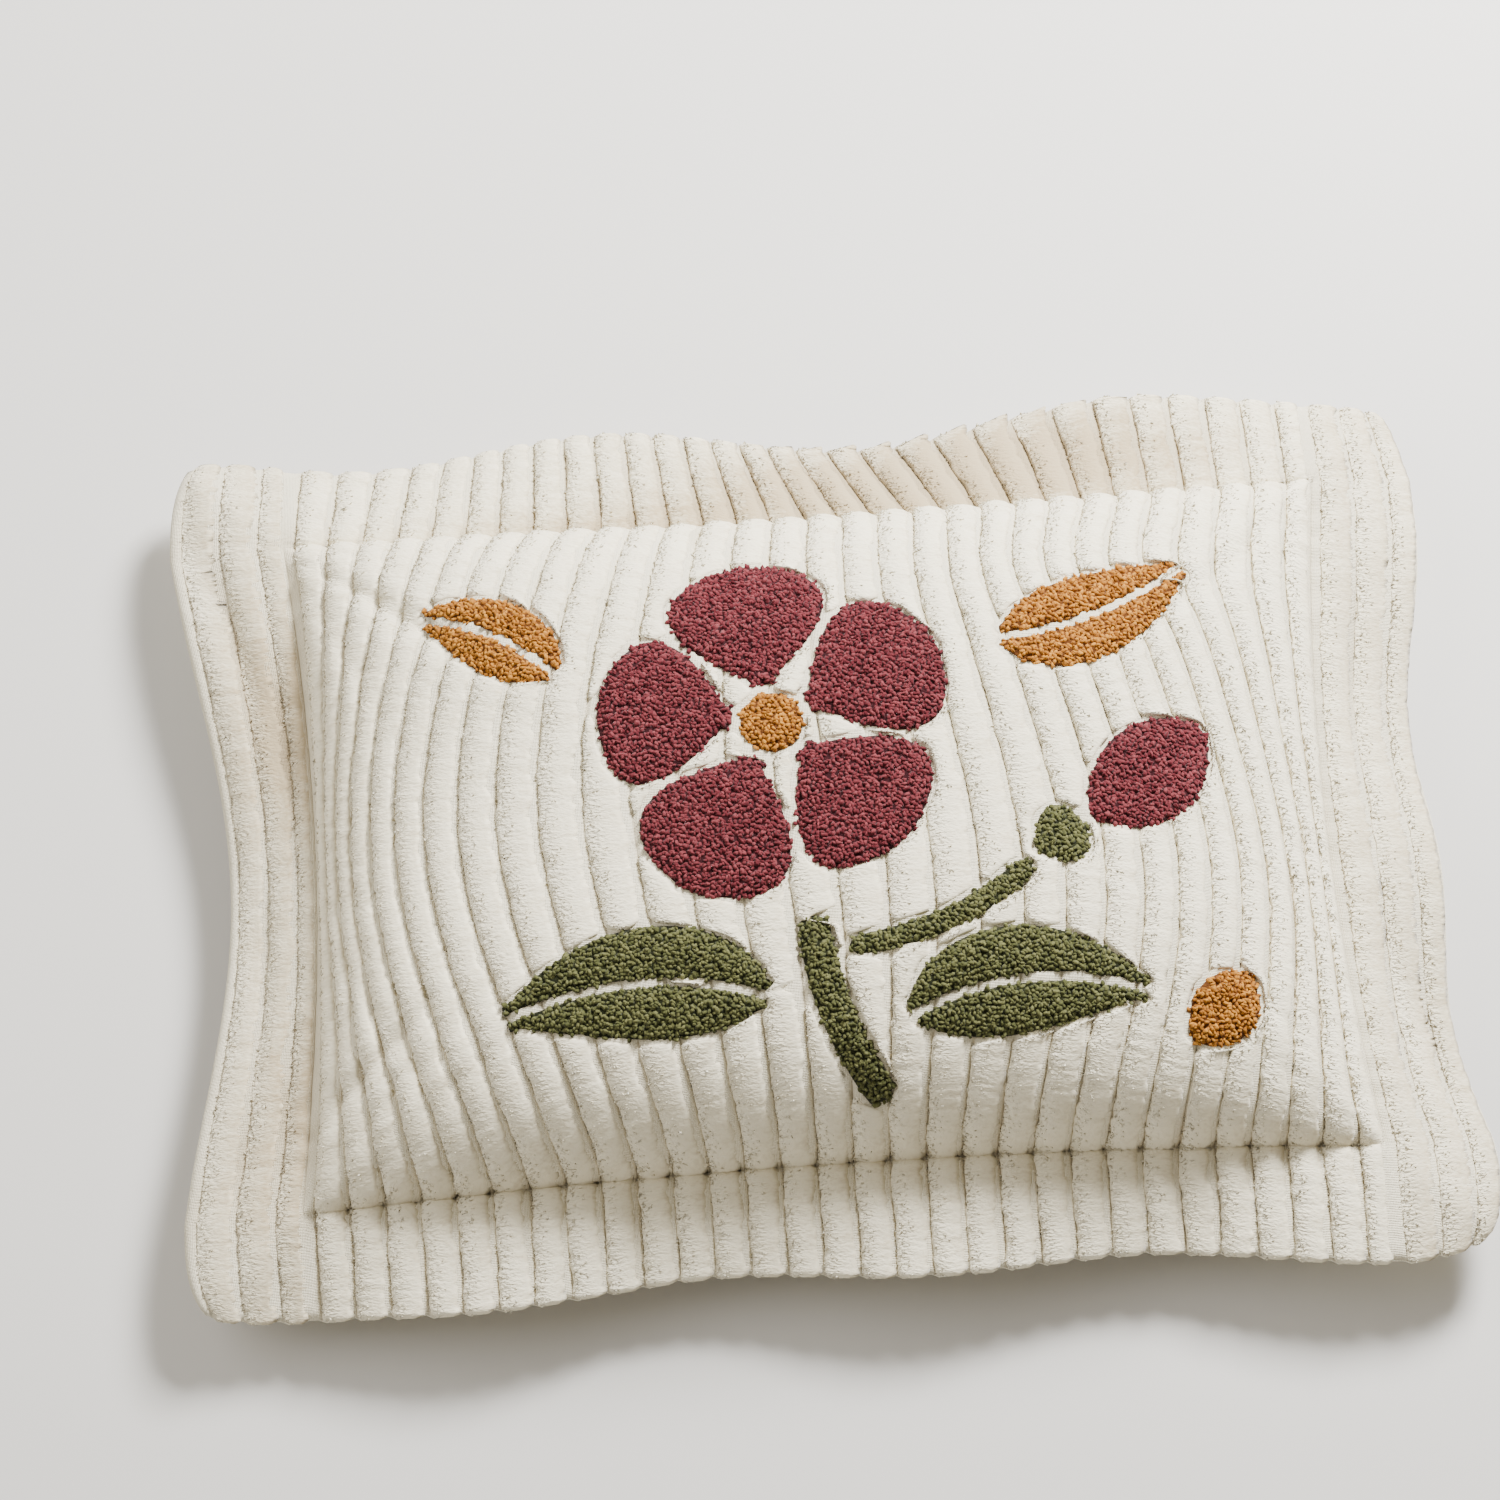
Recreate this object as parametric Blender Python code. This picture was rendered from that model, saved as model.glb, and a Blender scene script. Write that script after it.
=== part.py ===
"""A flanged pillow sham of ribbed chenille, filled and lying on its back.

The front and back are two cloths that meet at a sewn seam. Inside the seam they
open round the filling, outside it they lie together as a flange. A flower with its
stem, leaves and buds stands on the front as pads of thick tufted pile, and the ribs
stop short of them. Metres, +Z up. A place on the flat cloth is (u, v), measured from
its middle, and the functions below carry it to where it lies once the sham is filled.
"""
import math

import bmesh
import bpy
import numpy as np

# Cut sizes of the cover, laid flat
COVER_WIDTH = 0.914
COVER_DEPTH = 0.660
FLANGE_WIDTH = 0.0762
RIB_PITCH = 0.0254
RIB_RISE = 0.0042
TWO_PLIES = 0.0032

# How the filling lifts the cloth and draws its edges in
SEAM_HEIGHT = 0.058
FRONT_CROWN = 0.098
BACK_CROWN = 0.082
FULLNESS = 3.6
SIDE_STEEPNESS = 0.7
END_STEEPNESS = 0.5
SIDE_DRAW = 0.018
END_DRAW = 0.012
CORNER_DROP = 0.004
CORNER_SHARPNESS = 4
CORNER_ROUND = 0.010
FLANGE_DROP = 0.016
FLANGE_CURL = 1.3
SETTLE_POWER = 8

# How the ribs bow as the front climbs over the filling: broad pushes sideways
DRIFTS = (
    {"u": -0.225, "v": 0.000, "wide": 0.190, "tall": 0.190, "shift": -0.072},
    {"u": 0.225, "v": -0.060, "wide": 0.210, "tall": 0.150, "shift": 0.046},
    {"u": 0.250, "v": 0.175, "wide": 0.130, "tall": 0.055, "shift": -0.018},
)

# Waves of the flange: length along the edge, place of one crest, reach outwards, lift
FLANGE_WAVES = {
    "top": {"length": 0.38, "crest": -0.14, "out": 0.009, "lift": 0.007},
    "bottom": {"length": 0.31, "crest": 0.06, "out": 0.006, "lift": 0.006},
    "left": {"length": 0.52, "crest": 0.25, "out": 0.010, "lift": 0.006},
    "right": {"length": 0.24, "crest": -0.05, "out": 0.005, "lift": 0.007},
}

# Soft folds of the flange, both plies together. Each fold, and each crease below it, is
# a straight trough that fades at its ends: its middle, its turn in degrees from +U, its
# half length, half width and depth.
FLANGE_FOLDS = (
    {"u": -0.425, "v": 0.190, "turn": 102, "half": 0.100, "wide": 0.012, "deep": 0.0075},
    {"u": -0.400, "v": 0.080, "turn": 82, "half": 0.060, "wide": 0.014, "deep": 0.0060},
    {"u": -0.430, "v": -0.060, "turn": 96, "half": 0.050, "wide": 0.013, "deep": 0.0040},
    {"u": -0.415, "v": -0.200, "turn": 58, "half": 0.070, "wide": 0.014, "deep": 0.0060},
    {"u": 0.060, "v": 0.290, "turn": 76, "half": 0.045, "wide": 0.016, "deep": 0.0050},
    {"u": 0.200, "v": 0.288, "turn": 118, "half": 0.050, "wide": 0.014, "deep": 0.0045},
    {"u": 0.415, "v": 0.120, "turn": 80, "half": 0.080, "wide": 0.014, "deep": 0.0060},
    {"u": 0.425, "v": -0.150, "turn": 100, "half": 0.070, "wide": 0.013, "deep": 0.0060},
    {"u": -0.150, "v": -0.292, "turn": 84, "half": 0.045, "wide": 0.015, "deep": 0.0050},
    {"u": 0.240, "v": -0.290, "turn": 100, "half": 0.045, "wide": 0.015, "deep": 0.0050},
)

# Soft creases of the front inside the seam
CREASES = (
    {"u": -0.345, "v": 0.165, "turn": 108, "half": 0.085, "wide": 0.011, "deep": 0.0085},
    {"u": -0.326, "v": 0.206, "turn": 122, "half": 0.040, "wide": 0.011, "deep": 0.0050},
    {"u": -0.345, "v": -0.175, "turn": 38, "half": 0.050, "wide": 0.010, "deep": 0.0100},
    {"u": -0.325, "v": -0.132, "turn": 118, "half": 0.040, "wide": 0.008, "deep": 0.0065},
    {"u": -0.290, "v": -0.175, "turn": 62, "half": 0.034, "wide": 0.008, "deep": 0.0050},
    {"u": 0.340, "v": -0.120, "turn": 96, "half": 0.090, "wide": 0.014, "deep": 0.0070},
    {"u": 0.335, "v": 0.200, "turn": 60, "half": 0.040, "wide": 0.010, "deep": 0.0060},
    {"u": 0.110, "v": -0.238, "turn": 84, "half": 0.030, "wide": 0.010, "deep": 0.0045},
    {"u": -0.080, "v": 0.236, "turn": 100, "half": 0.030, "wide": 0.012, "deep": 0.0040},
)
CREASE_FADE = 0.5

# Steps of the cloth's grid: two columns for each rib, rows that close up at the seam
COLUMNS = 2 * round(COVER_WIDTH / RIB_PITCH)
PANEL_ROWS = 26
FLANGE_ROWS = 3
SEAM_CROWDING = 0.4
ROW_DIGITS = 6
NORMAL_STEP = 0.001

# Tufted pads. Each lies along a spine from start to end, drawn towards the bend, and
# reaches half_width to each side. skew moves the widest place along the spine, blunt
# rounds the ends, and no end is narrower than its share of the width.
PAD_RISE = 0.0062
PAD_GAP = 0.0008
PAD_SHOULDER = 0.45
PAD_END_SHARE = 0.22
RIB_MARGIN = 0.027
SPINE_STEPS = 10
ACROSS_STEPS = 4

BLOSSOM = {"u": -0.030, "v": 0.052, "first": 98, "inner": 0.030}
PETAL = {"yarn": "raspberry", "half_width": 0.056, "skew": 1.50, "blunt": 0.62}
PETAL_REACHES = (0.134, 0.126, 0.138, 0.128, 0.132)
HEART = {"yarn": "gold", "half_width": 0.0225, "skew": 1.0, "blunt": 0.5}
MIDRIB = 0.007
LEAVES = {
    "leaf_left": {"yarn": "green", "start": (-0.045, -0.150), "bend": (-0.130, -0.118),
                  "end": (-0.232, -0.150), "half_width": 0.037},
    "leaf_right": {"yarn": "green", "start": (0.055, -0.170), "bend": (0.130, -0.132),
                   "end": (0.222, -0.158), "half_width": 0.035},
    "gold_leaf_left": {"yarn": "gold", "start": (-0.186, 0.104), "bend": (-0.226, 0.150),
                       "end": (-0.282, 0.166), "half_width": 0.027},
    "gold_leaf_right": {"yarn": "gold", "start": (0.138, 0.110), "bend": (0.205, 0.112),
                        "end": (0.276, 0.165), "half_width": 0.031},
}
LEAF_OUTLINE = {"skew": 0.82, "blunt": 0.85}
PADS = {
    "stem": {"yarn": "green", "start": (-0.010, -0.094), "bend": (-0.008, -0.165),
             "end": (0.032, -0.226), "half_width": 0.012, "skew": 1.0, "blunt": 0.08},
    "bud_stem": {"yarn": "green", "start": (0.014, -0.118), "bend": (0.092, -0.112),
                 "end": (0.146, -0.064), "half_width": 0.008, "skew": 1.0, "blunt": 0.08},
    "bud_calyx": {"yarn": "green", "start": (0.152, -0.055), "bend": (0.168, -0.046),
                  "end": (0.186, -0.034), "half_width": 0.022, "skew": 1.5, "blunt": 0.5},
    "bud": {"yarn": "raspberry", "start": (0.193, -0.029), "bend": (0.235, -0.006),
            "end": (0.284, 0.036), "half_width": 0.036, "skew": 1.15, "blunt": 0.65},
    "gold_bud": {"yarn": "gold", "start": (0.250, -0.192), "bend": (0.274, -0.178),
                 "end": (0.300, -0.146), "half_width": 0.022, "skew": 1.2, "blunt": 0.6},
}

YARNS = {
    "cream": (0.83, 0.81, 0.75, 1.0),
    "raspberry": (0.36, 0.055, 0.075, 1.0),
    "green": (0.085, 0.115, 0.035, 1.0),
    "gold": (0.60, 0.235, 0.030, 1.0),
}
YARN_ROUGHNESS = 0.95

HALF_WIDTH = COVER_WIDTH / 2
HALF_DEPTH = COVER_DEPTH / 2
SEAM_U = HALF_WIDTH - FLANGE_WIDTH
SEAM_V = HALF_DEPTH - FLANGE_WIDTH


def clear_scene():
    """Remove what the start-up scene holds."""
    for thing in list(bpy.data.objects):
        bpy.data.objects.remove(thing)


def across_panel(u, v):
    """A place as shares of the way from the middle to the seam, held at the seam."""
    return np.clip(u / SEAM_U, -1, 1), np.clip(v / SEAM_V, -1, 1)


def past_seam(u, v):
    """How far out across the flange a place lies, 0 to 1, sideways and endways."""
    past_u = np.clip((np.abs(u) - SEAM_U) / FLANGE_WIDTH, 0, 1)
    past_v = np.clip((np.abs(v) - SEAM_V) / FLANGE_WIDTH, 0, 1)
    return past_u, past_v


def flange_edges(u, v):
    """Each flange edge's name and sizes, with its wave times how far out a place lies."""
    past_u, past_v = past_seam(u, v)
    edges = {
        "top": (u, past_v * (v > 0)),
        "bottom": (u, past_v * (v < 0)),
        "left": (v, past_u * (u < 0)),
        "right": (v, past_u * (u > 0)),
    }
    for name, (along, share) in edges.items():
        sizes = FLANGE_WAVES[name]
        crest = np.cos(2 * math.pi * (along - sizes["crest"]) / sizes["length"])
        yield name, sizes, share * crest


def drawn_in(u, v):
    """Plan of the seam and flange: edges drawn in at their middles, waved, corners rounded."""
    p, q = across_panel(u, v)
    past_u, past_v = past_seam(u, v)
    corner = CORNER_ROUND * (past_u * past_v) ** 3
    x = u - np.sign(u) * (SIDE_DRAW * (1 - q**2) * p**2 + corner)
    y = v - np.sign(v) * (END_DRAW * (1 - p**2) * q**2 + corner)
    for name, sizes, share in flange_edges(u, v):
        if name in ("top", "bottom"):
            y = y + np.sign(v) * sizes["out"] * share
        else:
            x = x + np.sign(u) * sizes["out"] * share
    return x, y


def drift(u, v):
    """How far a rib bows sideways at a place: broad Gaussians that end at the seam."""
    p, q = across_panel(u, v)
    inside = (1 - p**SETTLE_POWER) * (1 - q**SETTLE_POWER)
    push = np.zeros_like(u)
    for place in DRIFTS:
        off_u = (u - place["u"]) / place["wide"]
        off_v = (v - place["v"]) / place["tall"]
        push += place["shift"] * np.exp(-(off_u**2) - off_v**2)
    return push * inside


def trough_depth(u, v, troughs):
    """Sum of soft troughs at a place: each a Gaussian across its line, faded along it."""
    depth = np.zeros_like(u)
    for trough in troughs:
        turn = math.radians(trough["turn"])
        off_u = u - trough["u"]
        off_v = v - trough["v"]
        along = (off_u * math.cos(turn) + off_v * math.sin(turn)) / trough["half"]
        across = (off_v * math.cos(turn) - off_u * math.sin(turn)) / trough["wide"]
        depth += trough["deep"] * np.exp(-(along**2) - across**2)
    return depth


def middle_height(u, v):
    """Height of the seam and of the flange, which droops, waves, folds and dips."""
    p, q = across_panel(u, v)
    past = np.maximum(*past_seam(u, v))
    droop = FLANGE_DROP * past**FLANGE_CURL + np.sqrt(past) * trough_depth(u, v, FLANGE_FOLDS)
    height = SEAM_HEIGHT - CORNER_DROP * (p * q) ** CORNER_SHARPNESS - droop
    for _, sizes, share in flange_edges(u, v):
        height = height + sizes["lift"] * share
    return height


def swell(u, v):
    """Share of the full crown at a place: 0 on the seam and the flange, 1 in the middle.

    The lower its steepness, the more upright a side stands on the seam.
    """
    p, q = across_panel(u, v)
    sideways = (1 - np.abs(p) ** FULLNESS) ** SIDE_STEEPNESS
    return sideways * (1 - np.abs(q) ** FULLNESS) ** END_STEEPNESS


def front_cloth(u, v):
    """The front's ground cloth, without its ribs: the crown over the filling, creased."""
    x, y = drawn_in(u, v)
    full = swell(u, v)
    z = middle_height(u, v) + TWO_PLIES + FRONT_CROWN * full
    z -= trough_depth(u, v, CREASES) * full**CREASE_FADE
    return np.stack([x, y, z], axis=-1)


def back_cloth(u, v):
    """The back: the same outline, bulging down to a flat where it rests."""
    x, y = drawn_in(u, v)
    z = middle_height(u, v) - BACK_CROWN * swell(u, v)
    return np.stack([x, y, np.maximum(z, 0)], axis=-1)


def outward(u, v):
    """Unit normal of the front at a place, from two short steps along the cloth."""
    across = front_cloth(u + NORMAL_STEP, v) - front_cloth(u - NORMAL_STEP, v)
    along = front_cloth(u, v + NORMAL_STEP) - front_cloth(u, v - NORMAL_STEP)
    normal = np.cross(across, along)
    return normal / np.linalg.norm(normal, axis=-1, keepdims=True)


def clear_of_pads(u, v, pads):
    """True where a place is at least the bare margin away from every pad."""
    clear = np.ones(u.shape, dtype=bool)
    for pad in pads:
        for pad_u, pad_v in pad_places(pad).reshape(-1, 2):
            clear &= (u - pad_u) ** 2 + (v - pad_v) ** 2 > RIB_MARGIN**2
    return clear


def pad_places(pad):
    """A pad's places on the flat cloth, one row for each step of its spine.

    The spine is a quadratic Bezier curve. Across it the pad runs between two sides,
    each a share of half_width, and its width swells and tapers along the spine.
    """
    t = np.linspace(0, 1, SPINE_STEPS + 1)[:, None]
    start, bend, end = (np.array(pad[name]) for name in ("start", "bend", "end"))
    spine = (1 - t) ** 2 * start + 2 * t * (1 - t) * bend + t**2 * end
    heading = (1 - t) * (bend - start) + t * (end - bend)
    heading /= np.linalg.norm(heading, axis=1, keepdims=True)
    leftward = np.stack([-heading[:, 1], heading[:, 0]], axis=1)
    skewed = t ** pad["skew"]
    taper = np.maximum((4 * skewed * (1 - skewed)) ** pad["blunt"], PAD_END_SHARE)
    low, high = pad.get("sides", (-1, 1))
    slit = pad.get("slit", 0)
    shares = np.linspace(low, high, ACROSS_STEPS + 1)[None, :]
    reach = shares * taper * pad["half_width"] + np.sign(low + high) * slit
    return spine[:, None, :] + reach[:, :, None] * leftward[:, None, :]


def all_pads():
    """Every tufted pad by name: petals, heart, leaf halves beside a midrib, stems, buds."""
    pads = {}
    centre = np.array([BLOSSOM["u"], BLOSSOM["v"]])
    for number, reach in enumerate(PETAL_REACHES):
        turn = math.radians(BLOSSOM["first"] + number * 360 / len(PETAL_REACHES))
        heading = np.array([math.cos(turn), math.sin(turn)])
        start = centre + BLOSSOM["inner"] * heading
        end = centre + reach * heading
        pads[f"petal_{number + 1}"] = PETAL | {
            "start": start, "bend": (start + end) / 2, "end": end,
        }
    for name, leaf in LEAVES.items():
        for side, sides in (("upper", (0, 1)), ("lower", (-1, 0))):
            pads[f"{name}_{side}"] = leaf | LEAF_OUTLINE | {
                "sides": sides, "slit": MIDRIB / 2,
            }
    pads["flower_heart"] = HEART | {
        "start": centre - (HEART["half_width"], 0), "bend": centre,
        "end": centre + (HEART["half_width"], 0),
    }
    return pads | PADS


def lay_grid(mesh, points):
    """Add one sheet to the mesh, a grid whose vertices take the given places."""
    rows, columns = points.shape[:2]
    made = bmesh.ops.create_grid(
        mesh, x_segments=columns - 1, y_segments=rows - 1, size=1.0
    )
    ordered = sorted(
        made["verts"], key=lambda vertex: (round(vertex.co.y, ROW_DIGITS), vertex.co.x)
    )
    for vertex, place in zip(ordered, points.reshape(-1, 3)):
        vertex.co = place
    return {face for vertex in made["verts"] for face in vertex.link_faces}


def rim_of(faces):
    """The open edges round one sheet."""
    return [edge for face in faces for edge in face.edges if edge.is_boundary]


def closed_between(name, upper, lower, yarn, collection):
    """One solid from two sheets of places, upper and lower, joined round their rims."""
    sheets = bmesh.new()
    top = lay_grid(sheets, upper)
    bottom = lay_grid(sheets, lower)
    bmesh.ops.reverse_faces(sheets, faces=list(bottom))
    bmesh.ops.bridge_loops(sheets, edges=rim_of(top) + rim_of(bottom))
    bmesh.ops.recalc_face_normals(sheets, faces=sheets.faces)
    mesh = bpy.data.meshes.new(name)
    sheets.to_mesh(mesh)
    sheets.free()
    mesh.shade_smooth()
    mesh.materials.append(yarn)
    solid = bpy.data.objects.new(name, mesh)
    collection.objects.link(solid)
    return solid


def yarn_material(name, colour):
    """Cotton pile, soft and dull, in one colour."""
    material = bpy.data.materials.new(f"{name}_chenille")
    material.use_nodes = True
    shader = material.node_tree.nodes["Principled BSDF"]
    shader.inputs["Base Color"].default_value = colour
    shader.inputs["Roughness"].default_value = YARN_ROUGHNESS
    shader.inputs["Metallic"].default_value = 0.0
    return material


def cloth_places():
    """The grid's places on the flat cloth: valley, rib, valley, and rows seam to seam."""
    columns = np.linspace(-HALF_WIDTH, HALF_WIDTH, COLUMNS + 1)
    step = np.linspace(-1, 1, PANEL_ROWS + 1)
    crowded = SEAM_CROWDING * np.sin(step * math.pi / 2)
    panel = SEAM_V * ((1 - SEAM_CROWDING) * step + crowded)
    flange = np.linspace(SEAM_V, HALF_DEPTH, FLANGE_ROWS + 1)[1:]
    rows = np.concatenate([-flange[::-1], panel, flange])
    return np.meshgrid(columns, rows)


def build_sham(pads, yarn, collection):
    """The filled cover: front and back cloths, closed round the rim of the flange.

    The grid's columns follow the ribs, which crest on every second one.
    """
    u, v = cloth_places()
    wave = 0.5 - 0.5 * np.cos(2 * math.pi * (u + HALF_WIDTH) / RIB_PITCH)
    bowed = u + drift(u, v)
    rise = RIB_RISE * wave * clear_of_pads(bowed, v, pads)
    front = front_cloth(bowed, v) + rise[:, :, None] * outward(bowed, v)
    return closed_between("sham", front, back_cloth(u, v), yarn, collection)


def build_pad(name, pad, yarn, collection):
    """One tufted pad: its foot just clear of the cloth, its top highest in the middle."""
    places = pad_places(pad)
    u, v = places[:, :, 0], places[:, :, 1]
    foot = front_cloth(u, v)
    up = outward(u, v)
    shoulder = np.full(u.shape, PAD_RISE)
    shoulder[[0, -1], :] *= PAD_SHOULDER
    shoulder[:, [0, -1]] *= PAD_SHOULDER
    upper = foot + up * (PAD_GAP + shoulder)[:, :, None]
    return closed_between(name, upper, foot + up * PAD_GAP, yarn, collection)


def main():
    clear_scene()
    collection = bpy.data.collections.new("chenille pillow sham")
    bpy.context.scene.collection.children.link(collection)
    yarns = {name: yarn_material(name, colour) for name, colour in YARNS.items()}
    pads = all_pads()
    build_sham(pads.values(), yarns["cream"], collection)
    for name, pad in pads.items():
        build_pad(name, pad, yarns[pad["yarn"]], collection)


main()
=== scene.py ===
import math
import time

import bpy
import numpy as np
from mathutils import Matrix, Vector


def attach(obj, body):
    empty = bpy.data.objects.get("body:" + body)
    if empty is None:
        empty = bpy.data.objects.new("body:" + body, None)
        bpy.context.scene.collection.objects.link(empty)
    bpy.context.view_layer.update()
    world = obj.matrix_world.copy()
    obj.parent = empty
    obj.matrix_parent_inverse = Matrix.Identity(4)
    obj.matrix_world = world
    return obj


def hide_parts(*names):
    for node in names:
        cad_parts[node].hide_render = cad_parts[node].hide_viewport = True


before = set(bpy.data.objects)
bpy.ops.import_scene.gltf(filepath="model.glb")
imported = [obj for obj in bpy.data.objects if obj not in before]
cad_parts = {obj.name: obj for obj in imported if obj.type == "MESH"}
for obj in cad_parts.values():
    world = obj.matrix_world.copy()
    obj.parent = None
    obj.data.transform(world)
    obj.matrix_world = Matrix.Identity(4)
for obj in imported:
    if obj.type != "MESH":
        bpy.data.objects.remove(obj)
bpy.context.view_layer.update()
startTime = time.time()
print("frame loaded, quick =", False)

# the cover laid flat, in metres; (u, v) below is a place on it, measured from its middle
cover = {
    "width": 0.914, "depth": 0.660, "flange": 0.0762, "plies": 0.0032,
    "panelRows": 124, "flangeRows": 14,
    "crowding": 0.70,              # how far the grid's rows close up towards the seam
}
seamU = cover["width"] / 2 - cover["flange"]
seamV = cover["depth"] / 2 - cover["flange"]

# how the pillow inside lifts the cloth and draws its edges in
filling = {
    "seamHeight": 0.058, "frontCrown": 0.098, "backCrown": 0.082, "fullness": 3.6,
    "sideSteepness": 0.7, "endSteepness": 0.5,
    "sideDraw": 0.018, "endDraw": 0.012,
    "cornerDrop": 0.004, "cornerSharpness": 4, "cornerRound": 0.010,
    "flangeDrop": 0.016, "flangeCurl": 1.3, "settlePower": 8,
}
# where the ribs bow as the front climbs over the filling
drifts = (
    {"u": -0.225, "v": 0.000, "wide": 0.190, "tall": 0.190, "shift": -0.072},
    {"u": 0.225, "v": -0.060, "wide": 0.210, "tall": 0.150, "shift": 0.046},
    {"u": 0.250, "v": 0.175, "wide": 0.130, "tall": 0.055, "shift": -0.018},
)
# painted beige shade on the flange where it lies back, as broad Gaussians
paintedShades = (
    {"u": 0.100, "v": 0.286, "wide": 0.190, "tall": 0.042, "tint": 1.30},
    {"u": -0.160, "v": 0.262, "wide": 0.180, "tall": 0.016, "tint": 0.50},
    {"u": -0.412, "v": 0.110, "wide": 0.034, "tall": 0.085, "tint": 0.62},
    {"u": -0.400, "v": -0.190, "wide": 0.044, "tall": 0.090, "tint": 0.42},
)
# where the ribs of the flange's top edge slant as it curls
flangeSlants = (
    {"u": 0.080, "wide": 0.150, "shift": -0.034},
    {"u": -0.290, "wide": 0.090, "shift": 0.012},
)
flangeWaves = {
    "top": {"length": 0.38, "crest": -0.14, "out": 0.009, "lift": 0.007},
    "bottom": {"length": 0.31, "crest": 0.06, "out": 0.006, "lift": 0.006},
    "left": {"length": 0.52, "crest": 0.25, "out": 0.010, "lift": 0.006},
    "right": {"length": 0.24, "crest": -0.05, "out": 0.005, "lift": 0.007},
}
# soft troughs: middle, turn in degrees from +u, half length, half width, depth
flangeFolds = (
    {"u": -0.425, "v": 0.190, "turn": 102, "half": 0.100, "wide": 0.012, "deep": 0.0075},
    {"u": -0.400, "v": 0.080, "turn": 82, "half": 0.060, "wide": 0.014, "deep": 0.0060},
    {"u": -0.430, "v": -0.060, "turn": 96, "half": 0.050, "wide": 0.013, "deep": 0.0040},
    {"u": -0.415, "v": -0.200, "turn": 58, "half": 0.070, "wide": 0.014, "deep": 0.0060},
    {"u": 0.060, "v": 0.290, "turn": 76, "half": 0.045, "wide": 0.016, "deep": 0.0050},
    {"u": 0.200, "v": 0.288, "turn": 118, "half": 0.050, "wide": 0.014, "deep": 0.0045},
    {"u": 0.415, "v": 0.120, "turn": 80, "half": 0.080, "wide": 0.014, "deep": 0.0060},
    {"u": 0.425, "v": -0.150, "turn": 100, "half": 0.070, "wide": 0.013, "deep": 0.0060},
    {"u": -0.150, "v": -0.292, "turn": 84, "half": 0.045, "wide": 0.015, "deep": 0.0050},
    {"u": 0.240, "v": -0.290, "turn": 100, "half": 0.045, "wide": 0.015, "deep": 0.0050},
)
creases = (
    {"u": -0.345, "v": 0.165, "turn": 108, "half": 0.085, "wide": 0.011, "deep": 0.0085},
    {"u": -0.326, "v": 0.206, "turn": 122, "half": 0.040, "wide": 0.011, "deep": 0.0050},
    {"u": -0.345, "v": -0.175, "turn": 38, "half": 0.050, "wide": 0.010, "deep": 0.0100},
    {"u": -0.325, "v": -0.132, "turn": 118, "half": 0.040, "wide": 0.008, "deep": 0.0065},
    {"u": -0.290, "v": -0.175, "turn": 62, "half": 0.034, "wide": 0.008, "deep": 0.0050},
    {"u": 0.340, "v": -0.120, "turn": 96, "half": 0.090, "wide": 0.014, "deep": 0.0070},
    {"u": 0.335, "v": 0.200, "turn": 60, "half": 0.040, "wide": 0.010, "deep": 0.0060},
    {"u": 0.110, "v": -0.238, "turn": 84, "half": 0.030, "wide": 0.010, "deep": 0.0045},
    {"u": -0.080, "v": 0.236, "turn": 100, "half": 0.030, "wide": 0.012, "deep": 0.0040},
)
# the stitched line, which nips the cloth in and puckers it between the ribs
seam = {
    "nip": 0.0016, "nipReach": 0.0035, "pucker": 0.0016, "puckerReach": 0.016,
    "stitch": 0.0034, "stitchPitch": 0.0048, "stitchRadius": 0.00045, "outside": 0.0022, "seed": 5,
    "wanders": (247, 61, 143),     # waves a metre, times 2 pi, of the puckers' wander
}
normalStep = 0.0008                # short step on the cloth from which its slope is read
# cloth simulation of the panel: slack cloth blown up against the held seam. It has more
# slack across the ribs than along them, so that its folds run with the ribs.
settle = {
    "columns": 124, "rows": 72, "frames": 22, "quality": 6, "pressure": 3.0,
    "slackAcross": 0.055, "slackAlong": 0.008, "mass": 0.3, "stretch": 18.0, "squeeze": 12.0,
    "bend": 0.35, "cap": 0.011, "lineSteps": 2000,
}
settled = {}                       # for each side, how far the simulation moved the grid


def acrossPanel(u, v):
    # shares of the way from the middle to the seam, held at the seam
    return np.clip(u / seamU, -1, 1), np.clip(v / seamV, -1, 1)


def pastSeam(u, v):
    # how far out across the flange a place lies, 0 to 1, sideways and endways
    pastU = np.clip((np.abs(u) - seamU) / cover["flange"], 0, 1)
    pastV = np.clip((np.abs(v) - seamV) / cover["flange"], 0, 1)
    return pastU, pastV


def flangeEdges(u, v):
    # one cosine wave along each edge, times how far out the place lies on that side
    pastU, pastV = pastSeam(u, v)
    edges = {
        "top": (u, pastV * (v > 0)), "bottom": (u, pastV * (v < 0)),
        "left": (v, pastU * (u < 0)), "right": (v, pastU * (u > 0)),
    }
    for name, (along, share) in edges.items():
        sizes = flangeWaves[name]
        yield name, sizes, share * np.cos(2 * math.pi * (along - sizes["crest"]) / sizes["length"])


def drawnIn(u, v):
    # plan of the seam and flange: u and v less a parabola that is deepest mid-side, waved,
    # and less the cube of how far out into the corner the place lies
    p, q = acrossPanel(u, v)
    pastU, pastV = pastSeam(u, v)
    corner = filling["cornerRound"] * (pastU * pastV) ** 3
    x = u - np.sign(u) * (filling["sideDraw"] * (1 - q**2) * p**2 + corner)
    y = v - np.sign(v) * (filling["endDraw"] * (1 - p**2) * q**2 + corner)
    for name, sizes, share in flangeEdges(u, v):
        if name in ("top", "bottom"):
            y = y + np.sign(v) * sizes["out"] * share
        else:
            x = x + np.sign(u) * sizes["out"] * share
    return x, y


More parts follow.
